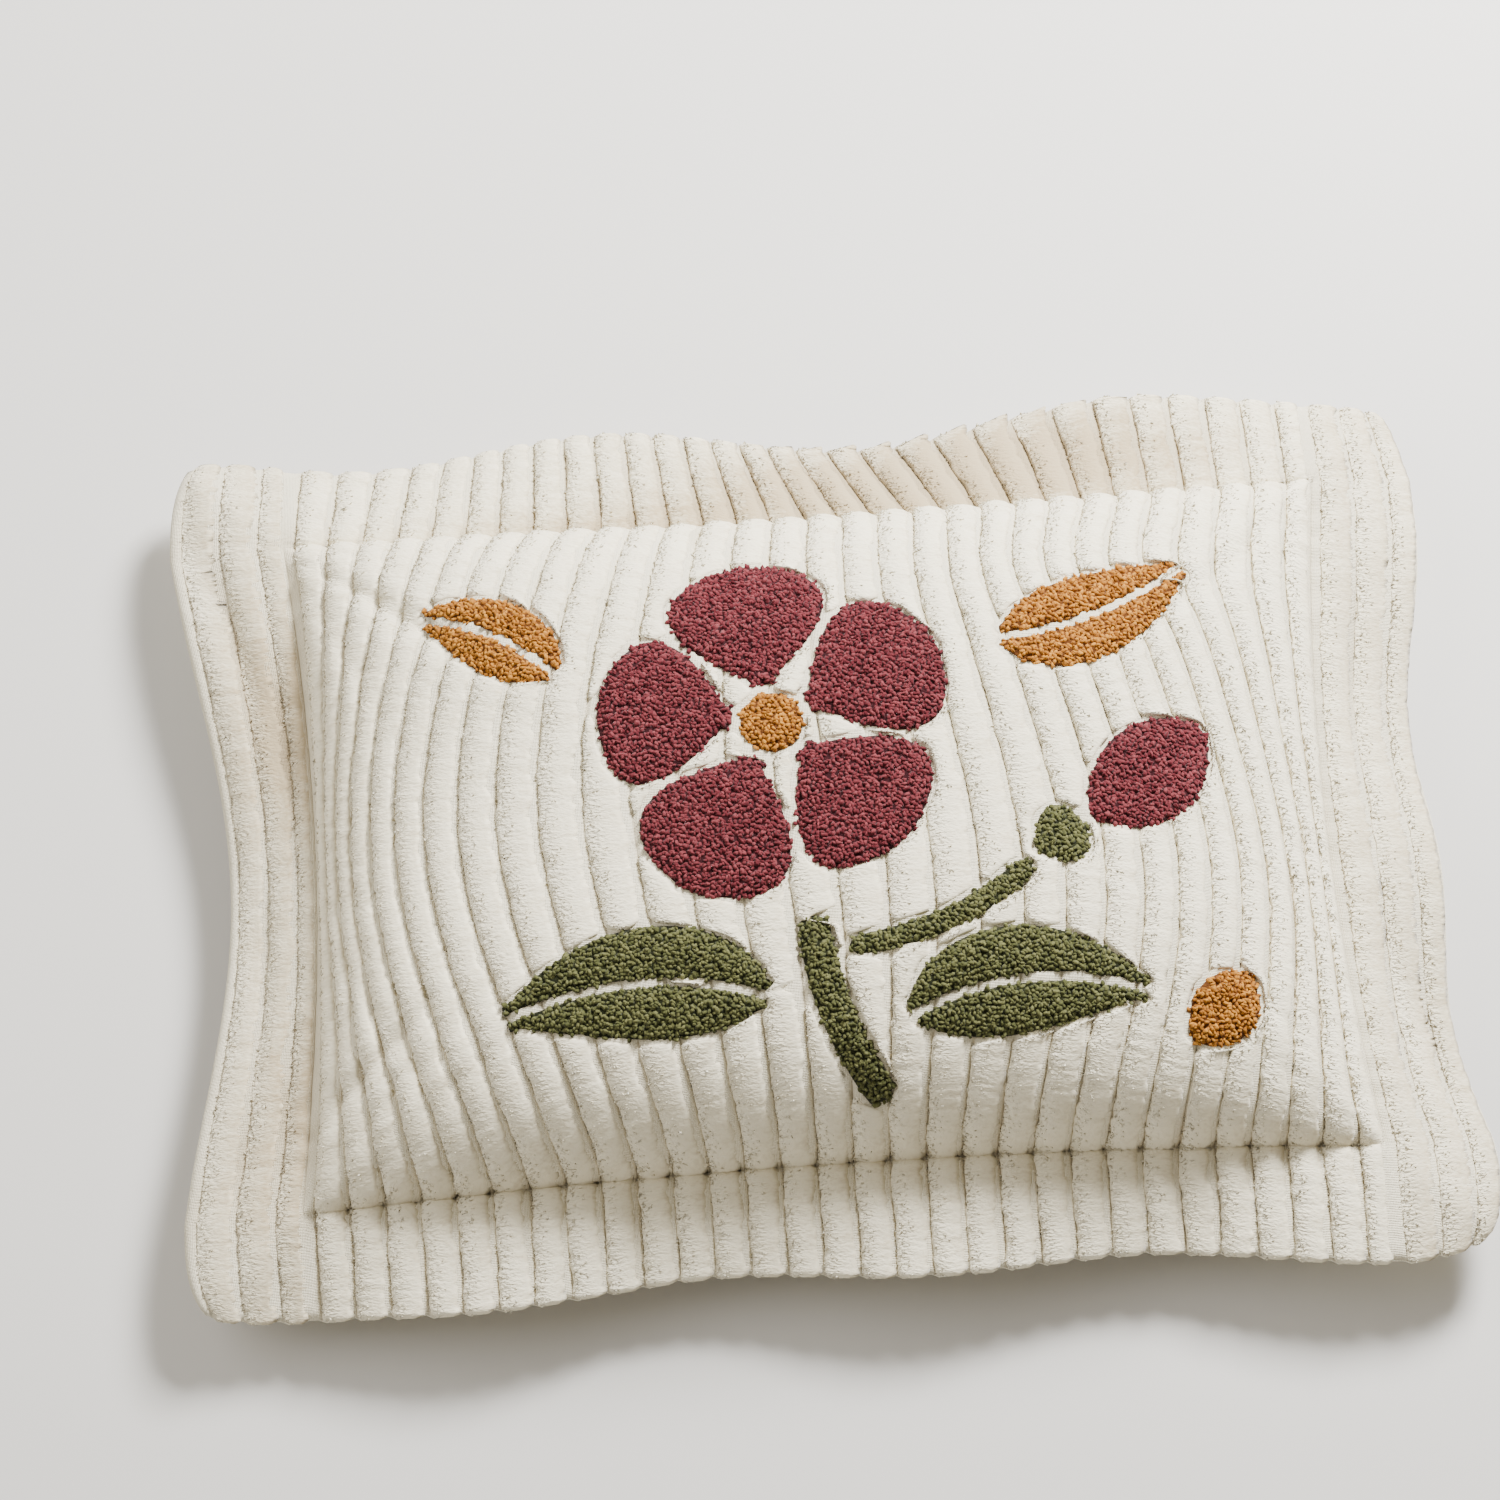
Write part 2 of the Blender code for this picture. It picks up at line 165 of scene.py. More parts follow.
def troughDepth(u, v, troughs):
    # each trough is a Gaussian across its line, faded along it
    depth = np.zeros_like(u)
    for trough in troughs:
        turn = math.radians(trough["turn"])
        offU, offV = u - trough["u"], v - trough["v"]
        along = (offU * math.cos(turn) + offV * math.sin(turn)) / trough["half"]
        across = (offV * math.cos(turn) - offU * math.sin(turn)) / trough["wide"]
        depth = depth + trough["deep"] * np.exp(-(along**2) - across**2)
    return depth


def drift(u, v):
    # how far a rib bows sideways: a sum of broad Gaussians that die away at the seam
    p, q = acrossPanel(u, v)
    push = np.zeros_like(u)
    for place in drifts:
        offU = (u - place["u"]) / place["wide"]
        offV = (v - place["v"]) / place["tall"]
        push = push + place["shift"] * np.exp(-(offU**2) - offV**2)
    push = push * (1 - p ** filling["settlePower"]) * (1 - q ** filling["settlePower"])
    outwards = pastSeam(u, v)[1] * (v > 0)
    for slant in flangeSlants:
        push = push + slant["shift"] * outwards * np.exp(-(((u - slant["u"]) / slant["wide"]) ** 2))
    return push


def middleHeight(u, v):
    # height of seam and flange: level, less a corner dip, a droop and folds, plus waves
    p, q = acrossPanel(u, v)
    past = np.maximum(*pastSeam(u, v))
    droop = filling["flangeDrop"] * past ** filling["flangeCurl"]
    droop = droop + np.sqrt(past) * troughDepth(u, v, flangeFolds)
    dip = filling["cornerDrop"] * (p * q) ** filling["cornerSharpness"]
    height = filling["seamHeight"] - dip - droop
    for _, sizes, share in flangeEdges(u, v):
        height = height + sizes["lift"] * share
    return height


def swell(u, v):
    # (1 - p^n)^s (1 - q^n)^t: 0 on the seam, 1 in the middle; a low s or t is steep there
    p, q = acrossPanel(u, v)
    n = filling["fullness"]
    sideways = (1 - np.abs(p) ** n) ** filling["sideSteepness"]
    return sideways * (1 - np.abs(q) ** n) ** filling["endSteepness"]


def fromSeam(u, v):
    # signed distance on the flat cloth from the seam's rectangle, above 0 on the flange
    outU, outV = np.abs(u) - seamU, np.abs(v) - seamV
    outside = np.hypot(np.maximum(outU, 0), np.maximum(outV, 0))
    return outside + np.minimum(np.maximum(outU, outV), 0)


def seamNip(u, v):
    # a narrow groove on the stitches, and short puckers that wander along the seam
    away = fromSeam(u, v)
    groove = seam["nip"] * np.exp(-((away / seam["nipReach"]) ** 2))
    alongSeam = np.where(np.abs(u) / seamU > np.abs(v) / seamV, v, u)
    fast, slow, middle = (alongSeam * wave for wave in seam["wanders"])
    wander = np.sin(fast + 1.3 * np.sin(slow)) + 0.6 * np.sin(middle + 2)
    return groove + seam["pucker"] * wander * np.exp(-np.abs(away) / seam["puckerReach"]) * 0.5


def crowdedLine(step, reach):
    # places from -reach to reach for steps from -1 to 1, closing up towards both ends
    return reach * ((1 - cover["crowding"]) * step + cover["crowding"] * np.sin(step * math.pi / 2))


def cubicShares(t):
    # the four weights of a uniform cubic B-spline
    return (
        (1 - t) ** 3 / 6, (3 * t**3 - 6 * t**2 + 4) / 6,
        (-3 * t**3 + 3 * t**2 + 3 * t + 1) / 6, t**3 / 6,
    )


def settledShift(side, u, v):
    # the simulated shift at a place, blended smoothly from the simulation's grid
    if side not in settled:
        return 0.0
    grid = settled[side]
    step = np.linspace(-1, 1, settle["lineSteps"])
    cells = []
    for place, reach, count in ((v, seamV, grid.shape[0]), (u, seamU, grid.shape[1])):
        share = np.interp(place, crowdedLine(step, reach), step)
        at = (share + 1) / 2 * (count - 1)
        low = np.clip(np.floor(at).astype(int), 0, count - 2)
        cells.append((low, cubicShares(at - low), count))
    (row, rowShares, rows), (column, columnShares, columns) = cells
    shift = np.zeros(u.shape + (3,))
    for downRow, rowShare in enumerate(rowShares):
        nearRow = np.clip(row + downRow - 1, 0, rows - 1)
        for downColumn, columnShare in enumerate(columnShares):
            nearColumn = np.clip(column + downColumn - 1, 0, columns - 1)
            shift = shift + (rowShare * columnShare)[..., None] * grid[nearRow, nearColumn]
    return shift


def frontCloth(u, v):
    # the front's ground cloth: crown over the pillow, less creases and the seam's nip
    x, y = drawnIn(u, v)
    full = swell(u, v)
    z = middleHeight(u, v) + cover["plies"] + filling["frontCrown"] * full
    z = z - troughDepth(u, v, creases) * np.sqrt(full) - seamNip(u, v)
    return np.stack([x, y, z], axis=-1) + settledShift("front", u, v)


def backCloth(u, v):
    # the same outline, bulging down to a flat where it rests on the surface
    x, y = drawnIn(u, v)
    z = middleHeight(u, v) - filling["backCrown"] * swell(u, v)
    places = np.stack([x, y, z], axis=-1) + settledShift("back", u, v)
    places[..., 2] = np.maximum(places[..., 2], 0)
    return places


def clothAxes(u, v):
    # unit vectors across the ribs, along them and out of the front, from short steps
    across = frontCloth(u + normalStep, v) - frontCloth(u - normalStep, v)
    along = frontCloth(u, v + normalStep) - frontCloth(u, v - normalStep)
    out = np.cross(across, along)
    out /= np.linalg.norm(out, axis=-1, keepdims=True)
    across /= np.linalg.norm(across, axis=-1, keepdims=True)
    return across, np.cross(out, across), out


# mesh makers

def putMesh(name, points, corners, sizes):
    # a mesh from flat arrays: vertex places, corner indices and corners in each face
    mesh = bpy.data.meshes.new(name)
    mesh.vertices.add(len(points))
    mesh.vertices.foreach_set("co", np.ascontiguousarray(points, dtype=np.float32).ravel())
    mesh.loops.add(len(corners))
    mesh.loops.foreach_set("vertex_index", np.ascontiguousarray(corners, dtype=np.int32))
    mesh.polygons.add(len(sizes))
    starts = np.concatenate([[0], np.cumsum(sizes)[:-1]]).astype(np.int32)
    mesh.polygons.foreach_set("loop_start", starts)
    mesh.update(calc_edges=True)
    mesh.validate()
    mesh.shade_smooth()
    piece = bpy.data.objects.new(name, mesh)
    bpy.context.scene.collection.objects.link(piece)
    return piece


def gridCorners(rows, columns, first=0, flip=False):
    # the four corners of each cell of a grid of vertices, counted row by row
    index = first + np.arange(rows * columns).reshape(rows, columns)
    cells = np.stack([index[:-1, :-1], index[:-1, 1:], index[1:, 1:], index[1:, :-1]], axis=-1)
    cells = cells.reshape(-1, 4)
    return cells[:, ::-1] if flip else cells


def rimLoop(rows, columns, first=0):
    # indices round the edge of a grid of vertices, anticlockwise
    index = first + np.arange(rows * columns).reshape(rows, columns)
    return np.concatenate([index[0, :-1], index[:-1, -1], index[-1, :0:-1], index[:0:-1, 0]])


def closedBetween(name, upper, lower):
    # two grids of places, back to back, with a strip of cells round their rims
    rows, columns = upper.shape[:2]
    count = rows * columns
    top = rimLoop(rows, columns)
    bottom = top + count
    strip = np.stack([bottom, np.roll(bottom, -1), np.roll(top, -1), top], axis=-1)
    cells = np.concatenate([
        gridCorners(rows, columns), gridCorners(rows, columns, count, flip=True), strip,
    ])
    points = np.concatenate([upper.reshape(-1, 3), lower.reshape(-1, 3)])
    return putMesh(name, points, cells.ravel(), np.full(len(cells), 4))


def settleCloth():
    # Blender's Cloth on the filled panel: held at the seam, slack, and blown up from inside
    columns = crowdedLine(np.linspace(-1, 1, settle["columns"]), seamU)
    rows = crowdedLine(np.linspace(-1, 1, settle["rows"]), seamV)
    u, v = np.meshgrid(columns, rows)
    start = {"front": frontCloth(u, v), "back": backCloth(u, v)}
    piece = closedBetween("settling", start["front"], start["back"])
    held = piece.vertex_groups.new(name="held")
    rim = rimLoop(*u.shape)
    held.add([int(index) for index in np.concatenate([rim, rim + u.size])], 1.0, "REPLACE")
    cloth = piece.modifiers.new("Cloth", "CLOTH")
    looks = cloth.settings
    looks.quality = settle["quality"]
    looks.mass = settle["mass"]
    looks.tension_stiffness = settle["stretch"]
    looks.compression_stiffness = settle["squeeze"]
    looks.bending_stiffness = settle["bend"]
    piece.shape_key_add(name="filled")
    rest = piece.shape_key_add(name="rest")
    stretch = 1 + np.array([settle["slackAcross"], settle["slackAlong"], settle["slackAcross"]])
    points = np.concatenate([start["front"].reshape(-1, 3), start["back"].reshape(-1, 3)])
    rest.data.foreach_set("co", (points * stretch).ravel())
    looks.rest_shape_key = rest
    looks.use_pressure = True
    looks.uniform_pressure_force = settle["pressure"]
    looks.vertex_group_mass = "held"
    looks.effector_weights.gravity = 0
    cloth.collision_settings.use_collision = False
    scene = bpy.context.scene
    cloth.point_cache.frame_end = settle["frames"]
    for step in range(1, settle["frames"] + 1):
        scene.frame_set(step)
    blown = piece.evaluated_get(bpy.context.evaluated_depsgraph_get()).to_mesh()
    places = np.empty(len(blown.vertices) * 3)
    blown.vertices.foreach_get("co", places)
    places = places.reshape(2, *u.shape, 3)
    for side, moved in zip(("front", "back"), places):
        shift = moved - start[side]
        length = np.linalg.norm(shift, axis=-1, keepdims=True) + 1e-9
        settled[side] = shift / length * settle["cap"] * np.tanh(length / settle["cap"])
        print(side, "moved by", (length.mean() * 1000).round(1), "to", (length.max() * 1000).round(1), "mm")
    bpy.data.objects.remove(piece)
    scene.frame_set(1)


settleCloth()
print("cloth settled", round(time.time() - startTime, 1))


def addTone(piece, values, name="tone"):
    # one number for each vertex, which the material reads
    layer = piece.data.attributes.new(name, "FLOAT", "POINT")
    layer.data.foreach_set("value", np.ascontiguousarray(values, dtype=np.float32).ravel())


def addClothMap(piece, places):
    # a UV map that holds each corner's place on the flat cloth, in decimetres
    corners = np.empty(len(piece.data.loops), dtype=np.int32)
    piece.data.loops.foreach_get("vertex_index", corners)
    layer = piece.data.uv_layers.new(name="cloth")
    layer.data.foreach_set("uv", (places[corners] * 10).astype(np.float32).ravel())


def tuftTemplate(sides, rings):
    # a blunt dome of radius 1 and height 1 on its own closed foot
    turn = np.arange(sides) * 2 * math.pi / sides
    circle = np.stack([np.cos(turn), np.sin(turn)], axis=-1)
    points, corners, sizes = [], [], []
    for ring, (radius, height) in enumerate(rings):
        points.append(np.column_stack([circle * radius, np.full(sides, height)]))
        if ring:
            low = (ring - 1) * sides + np.arange(sides)
            high = low + sides
            quads = np.stack([low, np.roll(low, -1), np.roll(high, -1), high], axis=-1)
            corners.append(quads.ravel())
            sizes += [4] * sides
    points.append(np.array([[0, 0, 1.0]]))
    last = (len(rings) - 1) * sides + np.arange(sides)
    tip = np.full(sides, len(rings) * sides)
    corners.append(np.stack([last, np.roll(last, -1), tip], axis=-1).ravel())
    sizes += [3] * sides
    corners.append(np.arange(sides)[::-1])
    sizes.append(sides)
    return np.concatenate(points), np.concatenate(corners), np.array(sizes)


def plantTufts(
    name, template, feet, axes, radii, heights, spin, lean, rough, draws, lowTip=0.0, darkenedBy=0.0,
):
    # copies of one tuft: each is spun, stretched, roughened, leant and stood on the cloth
    shape, corners, sizes = template
    count, size = len(feet), len(shape)
    cosine, sine = np.cos(spin)[:, None], np.sin(spin)[:, None]
    wobble = 1 + rough * draws.uniform(-1, 1, (count, size, 3))
    flat = shape[None, :, :2] * radii[:, None, :] * wobble[:, :, :2]
    tall = shape[None, :, 2] * heights[:, None] * wobble[:, :, 2]
    a = flat[:, :, 0] * cosine - flat[:, :, 1] * sine + lean[:, None, 0] * tall
    b = flat[:, :, 0] * sine + flat[:, :, 1] * cosine + lean[:, None, 1] * tall
    across, along, out = (axis[:, None, :] for axis in axes)
    points = feet[:, None, :] + a[..., None] * across + b[..., None] * along + tall[..., None] * out
    allCorners = (corners[None, :] + size * np.arange(count)[:, None]).ravel()
    piece = putMesh(name, points.reshape(-1, 3), allCorners, np.tile(sizes, count))
    addTone(piece, np.repeat(draws.uniform(0, 1, count) - darkenedBy, size))
    # painted shade: each copy darkens from its tip down to lowTip at its foot
    addTone(piece, np.tile(lowTip + (1 - lowTip) * shape[:, 2], count), "tip")
    return piece


# tufted pads: a spine from start to end, drawn towards the bend, half_width to each side

blossom = {"u": -0.030, "v": 0.052, "first": 98, "inner": 0.030}
petal = {"yarn": "raspberry", "halfWidth": 0.056, "skew": 1.50, "blunt": 0.62}
petalReaches = (0.134, 0.126, 0.138, 0.128, 0.132)
heartRadius = 0.0225
midrib = 0.007
leafOutline = {"skew": 0.82, "blunt": 0.85}
leaves = {
    "leaf_left": {"yarn": "green", "start": (-0.045, -0.150), "bend": (-0.130, -0.118),
                  "end": (-0.232, -0.150), "halfWidth": 0.037},
    "leaf_right": {"yarn": "green", "start": (0.055, -0.170), "bend": (0.130, -0.132),
                   "end": (0.222, -0.158), "halfWidth": 0.035},
    "gold_leaf_left": {"yarn": "gold", "start": (-0.186, 0.104), "bend": (-0.226, 0.150),
                       "end": (-0.282, 0.166), "halfWidth": 0.027},
    "gold_leaf_right": {"yarn": "gold", "start": (0.138, 0.110), "bend": (0.205, 0.112),
                        "end": (0.276, 0.165), "halfWidth": 0.031},
}
singlePads = {
    "stem": {"yarn": "green", "start": (-0.010, -0.094), "bend": (-0.008, -0.165),
             "end": (0.032, -0.226), "halfWidth": 0.012, "skew": 1.0, "blunt": 0.08},
    "bud_stem": {"yarn": "green", "start": (0.014, -0.118), "bend": (0.092, -0.112),
                 "end": (0.146, -0.064), "halfWidth": 0.008, "skew": 1.0, "blunt": 0.08},
    "bud_calyx": {"yarn": "green", "start": (0.152, -0.055), "bend": (0.168, -0.046),
                  "end": (0.186, -0.034), "halfWidth": 0.022, "skew": 1.5, "blunt": 0.5},
    "bud": {"yarn": "raspberry", "start": (0.193, -0.029), "bend": (0.235, -0.006),
            "end": (0.284, 0.036), "halfWidth": 0.036, "skew": 1.15, "blunt": 0.65},
    "gold_bud": {"yarn": "gold", "start": (0.250, -0.192), "bend": (0.274, -0.178),
                 "end": (0.300, -0.146), "halfWidth": 0.022, "skew": 1.2, "blunt": 0.6},
}


def padPlaces(pad, spineSteps, acrossSteps):
    # rows across a quadratic Bezier spine; the width is (4s(1 - s))^blunt, s a power of t
    t = np.linspace(0, 1, spineSteps + 1)[:, None]
    start, bend, end = (np.array(pad[name]) for name in ("start", "bend", "end"))
    spine = (1 - t) ** 2 * start + 2 * t * (1 - t) * bend + t**2 * end
    heading = (1 - t) * (bend - start) + t * (end - bend)
    heading /= np.linalg.norm(heading, axis=1, keepdims=True)
    leftward = np.stack([-heading[:, 1], heading[:, 0]], axis=1)
    skewed = t ** pad["skew"]
    taper = np.maximum((4 * skewed * (1 - skewed)) ** pad["blunt"], 0.16)
    low, high = pad.get("sides", (-1, 1))
    shares = np.linspace(low, high, acrossSteps + 1)[None, :]
    reach = shares * taper * pad["halfWidth"] + np.sign(low + high) * pad.get("slit", 0)
    return spine[:, None, :] + reach[:, :, None] * leftward[:, None, :]


def allPads():
    # petals round the heart, leaf halves beside a bare midrib, stems and buds
    pads = {}
    centre = np.array([blossom["u"], blossom["v"]])
    for number, reach in enumerate(petalReaches):
        turn = math.radians(blossom["first"] + number * 360 / len(petalReaches))
        heading = np.array([math.cos(turn), math.sin(turn)])
        start, end = centre + blossom["inner"] * heading, centre + reach * heading
        pads[f"petal_{number + 1}"] = petal | {"start": start, "bend": (start + end) / 2, "end": end}
    across = np.array([heartRadius, 0])
    pads["flower_heart"] = {
        "yarn": "gold", "start": centre - across, "bend": centre, "end": centre + across,
        "halfWidth": heartRadius, "skew": 1.0, "blunt": 0.5,
    }
    for name, leaf in leaves.items():
        for side, sides in (("upper", (0, 1)), ("lower", (-1, 0))):
            pads[f"{name}_{side}"] = leaf | leafOutline | {"sides": sides, "slit": midrib / 2}
    return pads | singlePads


def padOutline(pad):
    # the pad's edge as a closed run of places, close enough together to measure from
    places = padPlaces(pad, 40, 8)
    return places.reshape(-1, 2)[rimLoop(*places.shape[:2])]


def insideOutline(u, v, outline):
    # even-odd crossings of a line drawn to the right of each place
    nextPlace = np.roll(outline, -1, axis=0)
    crosses = (outline[:, 1] > v[:, None]) != (nextPlace[:, 1] > v[:, None])
    rise = np.where(nextPlace[:, 1] == outline[:, 1], 1, nextPlace[:, 1] - outline[:, 1])
    meet = outline[:, 0] + (v[:, None] - outline[:, 1]) * (nextPlace[:, 0] - outline[:, 0]) / rise
    return (crosses & (u[:, None] < meet)).sum(axis=1) % 2 == 1


def fromOutline(u, v, outline):
    # distance to the nearest place of the outline
    return np.sqrt(((u[:, None] - outline[:, 0]) ** 2 + (v[:, None] - outline[:, 1]) ** 2).min(axis=1))


pads = allPads()
outlines = {name: padOutline(pad) for name, pad in pads.items()}


# finishes

def newFinish(name):
    material = bpy.data.materials.new(name)
    material.use_nodes = True
    nodes, links = material.node_tree.nodes, material.node_tree.links
    return material, nodes, links, nodes["Principled BSDF"]


def rampOf(nodes, stops):
    # a colour ramp from (place, colour) pairs
    ramp = nodes.new("ShaderNodeValToRGB")
    while len(ramp.color_ramp.elements) < len(stops):
        ramp.color_ramp.elements.new(0.5)
    for element, (place, colour) in zip(ramp.color_ramp.elements, stops):
        element.position = place
        element.color = (*colour, 1)
    return ramp


def noiseOn(nodes, links, source, scale, detail=3.0):
    noise = nodes.new("ShaderNodeTexNoise")
    noise.inputs["Scale"].default_value = scale
    noise.inputs["Detail"].default_value = detail
    links.new(source, noise.inputs["Vector"])
    return noise.outputs["Fac"]


def mathOn(nodes, links, operation, first, second):
    node = nodes.new("ShaderNodeMath")
    node.operation = operation
    for socket, value in zip(node.inputs, (first, second)):
        if isinstance(value, (int, float)):
            socket.default_value = value
        else:
            links.new(value, socket)
    return node.outputs[0]


def bumpOn(nodes, links, height, strength, distance, shader):
    bump = nodes.new("ShaderNodeBump")
    bump.inputs["Strength"].default_value = strength
    bump.inputs["Distance"].default_value = distance
    links.new(height, bump.inputs["Height"])
    links.new(bump.outputs["Normal"], shader.inputs["Normal"])


def strokesOn(nodes, links, scale):
    # noise drawn out across the ribs and a little slanted, on the cloth's own map
    cloth = nodes.new("ShaderNodeUVMap")
    cloth.uv_map = "cloth"
    slant = nodes.new("ShaderNodeMapping")
    slant.inputs["Rotation"].default_value = (0, 0, 0.4)
    slant.inputs["Scale"].default_value = (1, 2.1, 1)
    links.new(cloth.outputs["UV"], slant.inputs["Vector"])
    return noiseOn(nodes, links, slant.outputs["Vector"], scale, 2.0)


def attributeOn(nodes, name):
    node = nodes.new("ShaderNodeAttribute")
    node.attribute_name = name
    return node.outputs["Fac"]


groundCloth = {
    # the ground's own cream, and the deep beige that its random blotches and its painted shade darken it
    # towards
    "light": (0.92, 0.855, 0.665), "deep": (0.50, 0.40, 0.25),
    "weavePitch": 0.0011, "weaveBump": 0.0003, "fuzzScale": 380.0, "fuzzBump": 0.0008,
    "clumpScale": 120.0, "clumpBump": 0.0010, "roughness": 0.94, "sheen": 0.20,
    "blotchScale": 9.0, "blotches": 0.35, "lightFrom": 0.20,
}
# how much painted beige shade the ground takes near the seam, in folds and creases, and in the ribs' lines
paintedShadeTint = {"seam": 0.20, "seamReach": 0.010, "crease": 0.45, "fullDepth": 0.010, "line": 0.42}


def groundFinish(name, look):
    # a plain weave on the cloth's own map, with painted beige shade where folds gather, lightly fuzzy
    material, nodes, links, shader = newFinish(name)
    cloth = nodes.new("ShaderNodeUVMap")
    cloth.uv_map = "cloth"
    place = nodes.new("ShaderNodeTexCoord").outputs["Object"]
    blotches = noiseOn(nodes, links, place, look["blotchScale"], 2.0)
    blotches = mathOn(nodes, links, "MULTIPLY", blotches, look["blotches"])
    amount = mathOn(nodes, links, "ADD", blotches, attributeOn(nodes, "paintedShade"))
    ramp = rampOf(nodes, ((look["lightFrom"], look["light"]), (1.0, look["deep"])))
    links.new(amount, ramp.inputs["Fac"])
    links.new(ramp.outputs["Color"], shader.inputs["Base Color"])
    heights = []
    for direction in ("X", "Y"):
        wave = nodes.new("ShaderNodeTexWave")
        wave.bands_direction = direction
        wave.inputs["Scale"].default_value = 0.1 / look["weavePitch"] / 3.183
        wave.inputs["Distortion"].default_value = 1.2
        links.new(cloth.outputs["UV"], wave.inputs["Vector"])
        heights.append(wave.outputs["Fac"])
    weave = mathOn(nodes, links, "MULTIPLY", mathOn(nodes, links, "ADD", *heights), look["weaveBump"])
    fuzz = noiseOn(nodes, links, place, look["fuzzScale"], 3.0)
    fuzz = mathOn(nodes, links, "MULTIPLY", fuzz, look["fuzzBump"])
    clumps = noiseOn(nodes, links, place, look["clumpScale"], 2.0)
    clumps = mathOn(nodes, links, "MULTIPLY", clumps, look["clumpBump"])
    relief = mathOn(nodes, links, "ADD", weave, mathOn(nodes, links, "ADD", fuzz, clumps))
    bumpOn(nodes, links, relief, 1.0, 1.0, shader)
    shader.inputs["Roughness"].default_value = look["roughness"]
    shader.inputs["Sheen Weight"].default_value = look["sheen"]
    shader.inputs["Sheen Roughness"].default_value = 0.5
    return material


pileLooks = {
    "cream": {"dark": (0.50, 0.405, 0.26), "mid": (0.89, 0.825, 0.64), "light": (0.92, 0.87, 0.71),
              "strokes": 26.0, "grainDepth": 0.0040, "sheen": 0.20},
    "raspberry": {"dark": (0.022, 0.003, 0.005), "mid": (0.104, 0.012, 0.018),
                  "light": (0.26, 0.056, 0.064),
                  "speckle": 620.0, "grain": 1300.0, "grainDepth": 0.0006, "sheen": 0.14},
    "green": {"dark": (0.012, 0.014, 0.005), "mid": (0.070, 0.076, 0.024),
              "light": (0.180, 0.180, 0.070),
              "speckle": 620.0, "grain": 1300.0, "grainDepth": 0.0006, "sheen": 0.14},
    "gold": {"dark": (0.080, 0.026, 0.005), "mid": (0.30, 0.112, 0.014), "light": (0.62, 0.290, 0.050),
             "speckle": 620.0, "grain": 1300.0, "grainDepth": 0.0006, "sheen": 0.08},
}
# what a pile's colour is mixed from, and where its three colours stand on the ramp; the tip share is
# painted shade, darker low on each tuft and across each roll
pileMix = {"tone": 0.34, "tip": 0.40, "speckle": 0.40, "dark": 0.18, "mid": 0.55, "light": 0.95}


def pileFinish(name, look):
    # yarn ends: each tuft has its own tone, with painted shade darker at its foot, speckled by a fine noise
    material, nodes, links, shader = newFinish(name)
    place = nodes.new("ShaderNodeTexCoord").outputs["Object"]
    if "strokes" in look:
        # strokes that sink away where the roll of pile fades
        speckle = strokesOn(nodes, links, look["strokes"])
        fading = mathOn(nodes, links, "POWER", attributeOn(nodes, "tip"), 2)
        grain = mathOn(nodes, links, "MULTIPLY", speckle, fading)
    else:
        speckle = noiseOn(nodes, links, place, look["speckle"], 2.0)
        grain = noiseOn(nodes, links, place, look["grain"], 2.0)
    tone = mathOn(nodes, links, "MULTIPLY", attributeOn(nodes, "tone"), pileMix["tone"])
    tip = mathOn(nodes, links, "MULTIPLY", attributeOn(nodes, "tip"), pileMix["tip"])
    speckle = mathOn(nodes, links, "MULTIPLY", speckle, pileMix["speckle"])
    amount = mathOn(nodes, links, "ADD", mathOn(nodes, links, "ADD", tone, tip), speckle)
    ramp = rampOf(nodes, [(pileMix[shade], look[shade]) for shade in ("dark", "mid", "light")])
    links.new(amount, ramp.inputs["Fac"])
    links.new(ramp.outputs["Color"], shader.inputs["Base Color"])
    bumpOn(nodes, links, grain, 1.0, look["grainDepth"], shader)
    shader.inputs["Roughness"].default_value = 0.95
    shader.inputs["Sheen Weight"].default_value = look["sheen"]
    shader.inputs["Sheen Roughness"].default_value = 0.45
    shader.inputs["Specular IOR Level"].default_value = 0.15
    return material


piles = {yarn: pileFinish(f"{yarn}Pile", look) for yarn, look in pileLooks.items()}


# the cover, whose front dips into a fine line along the left of each rib

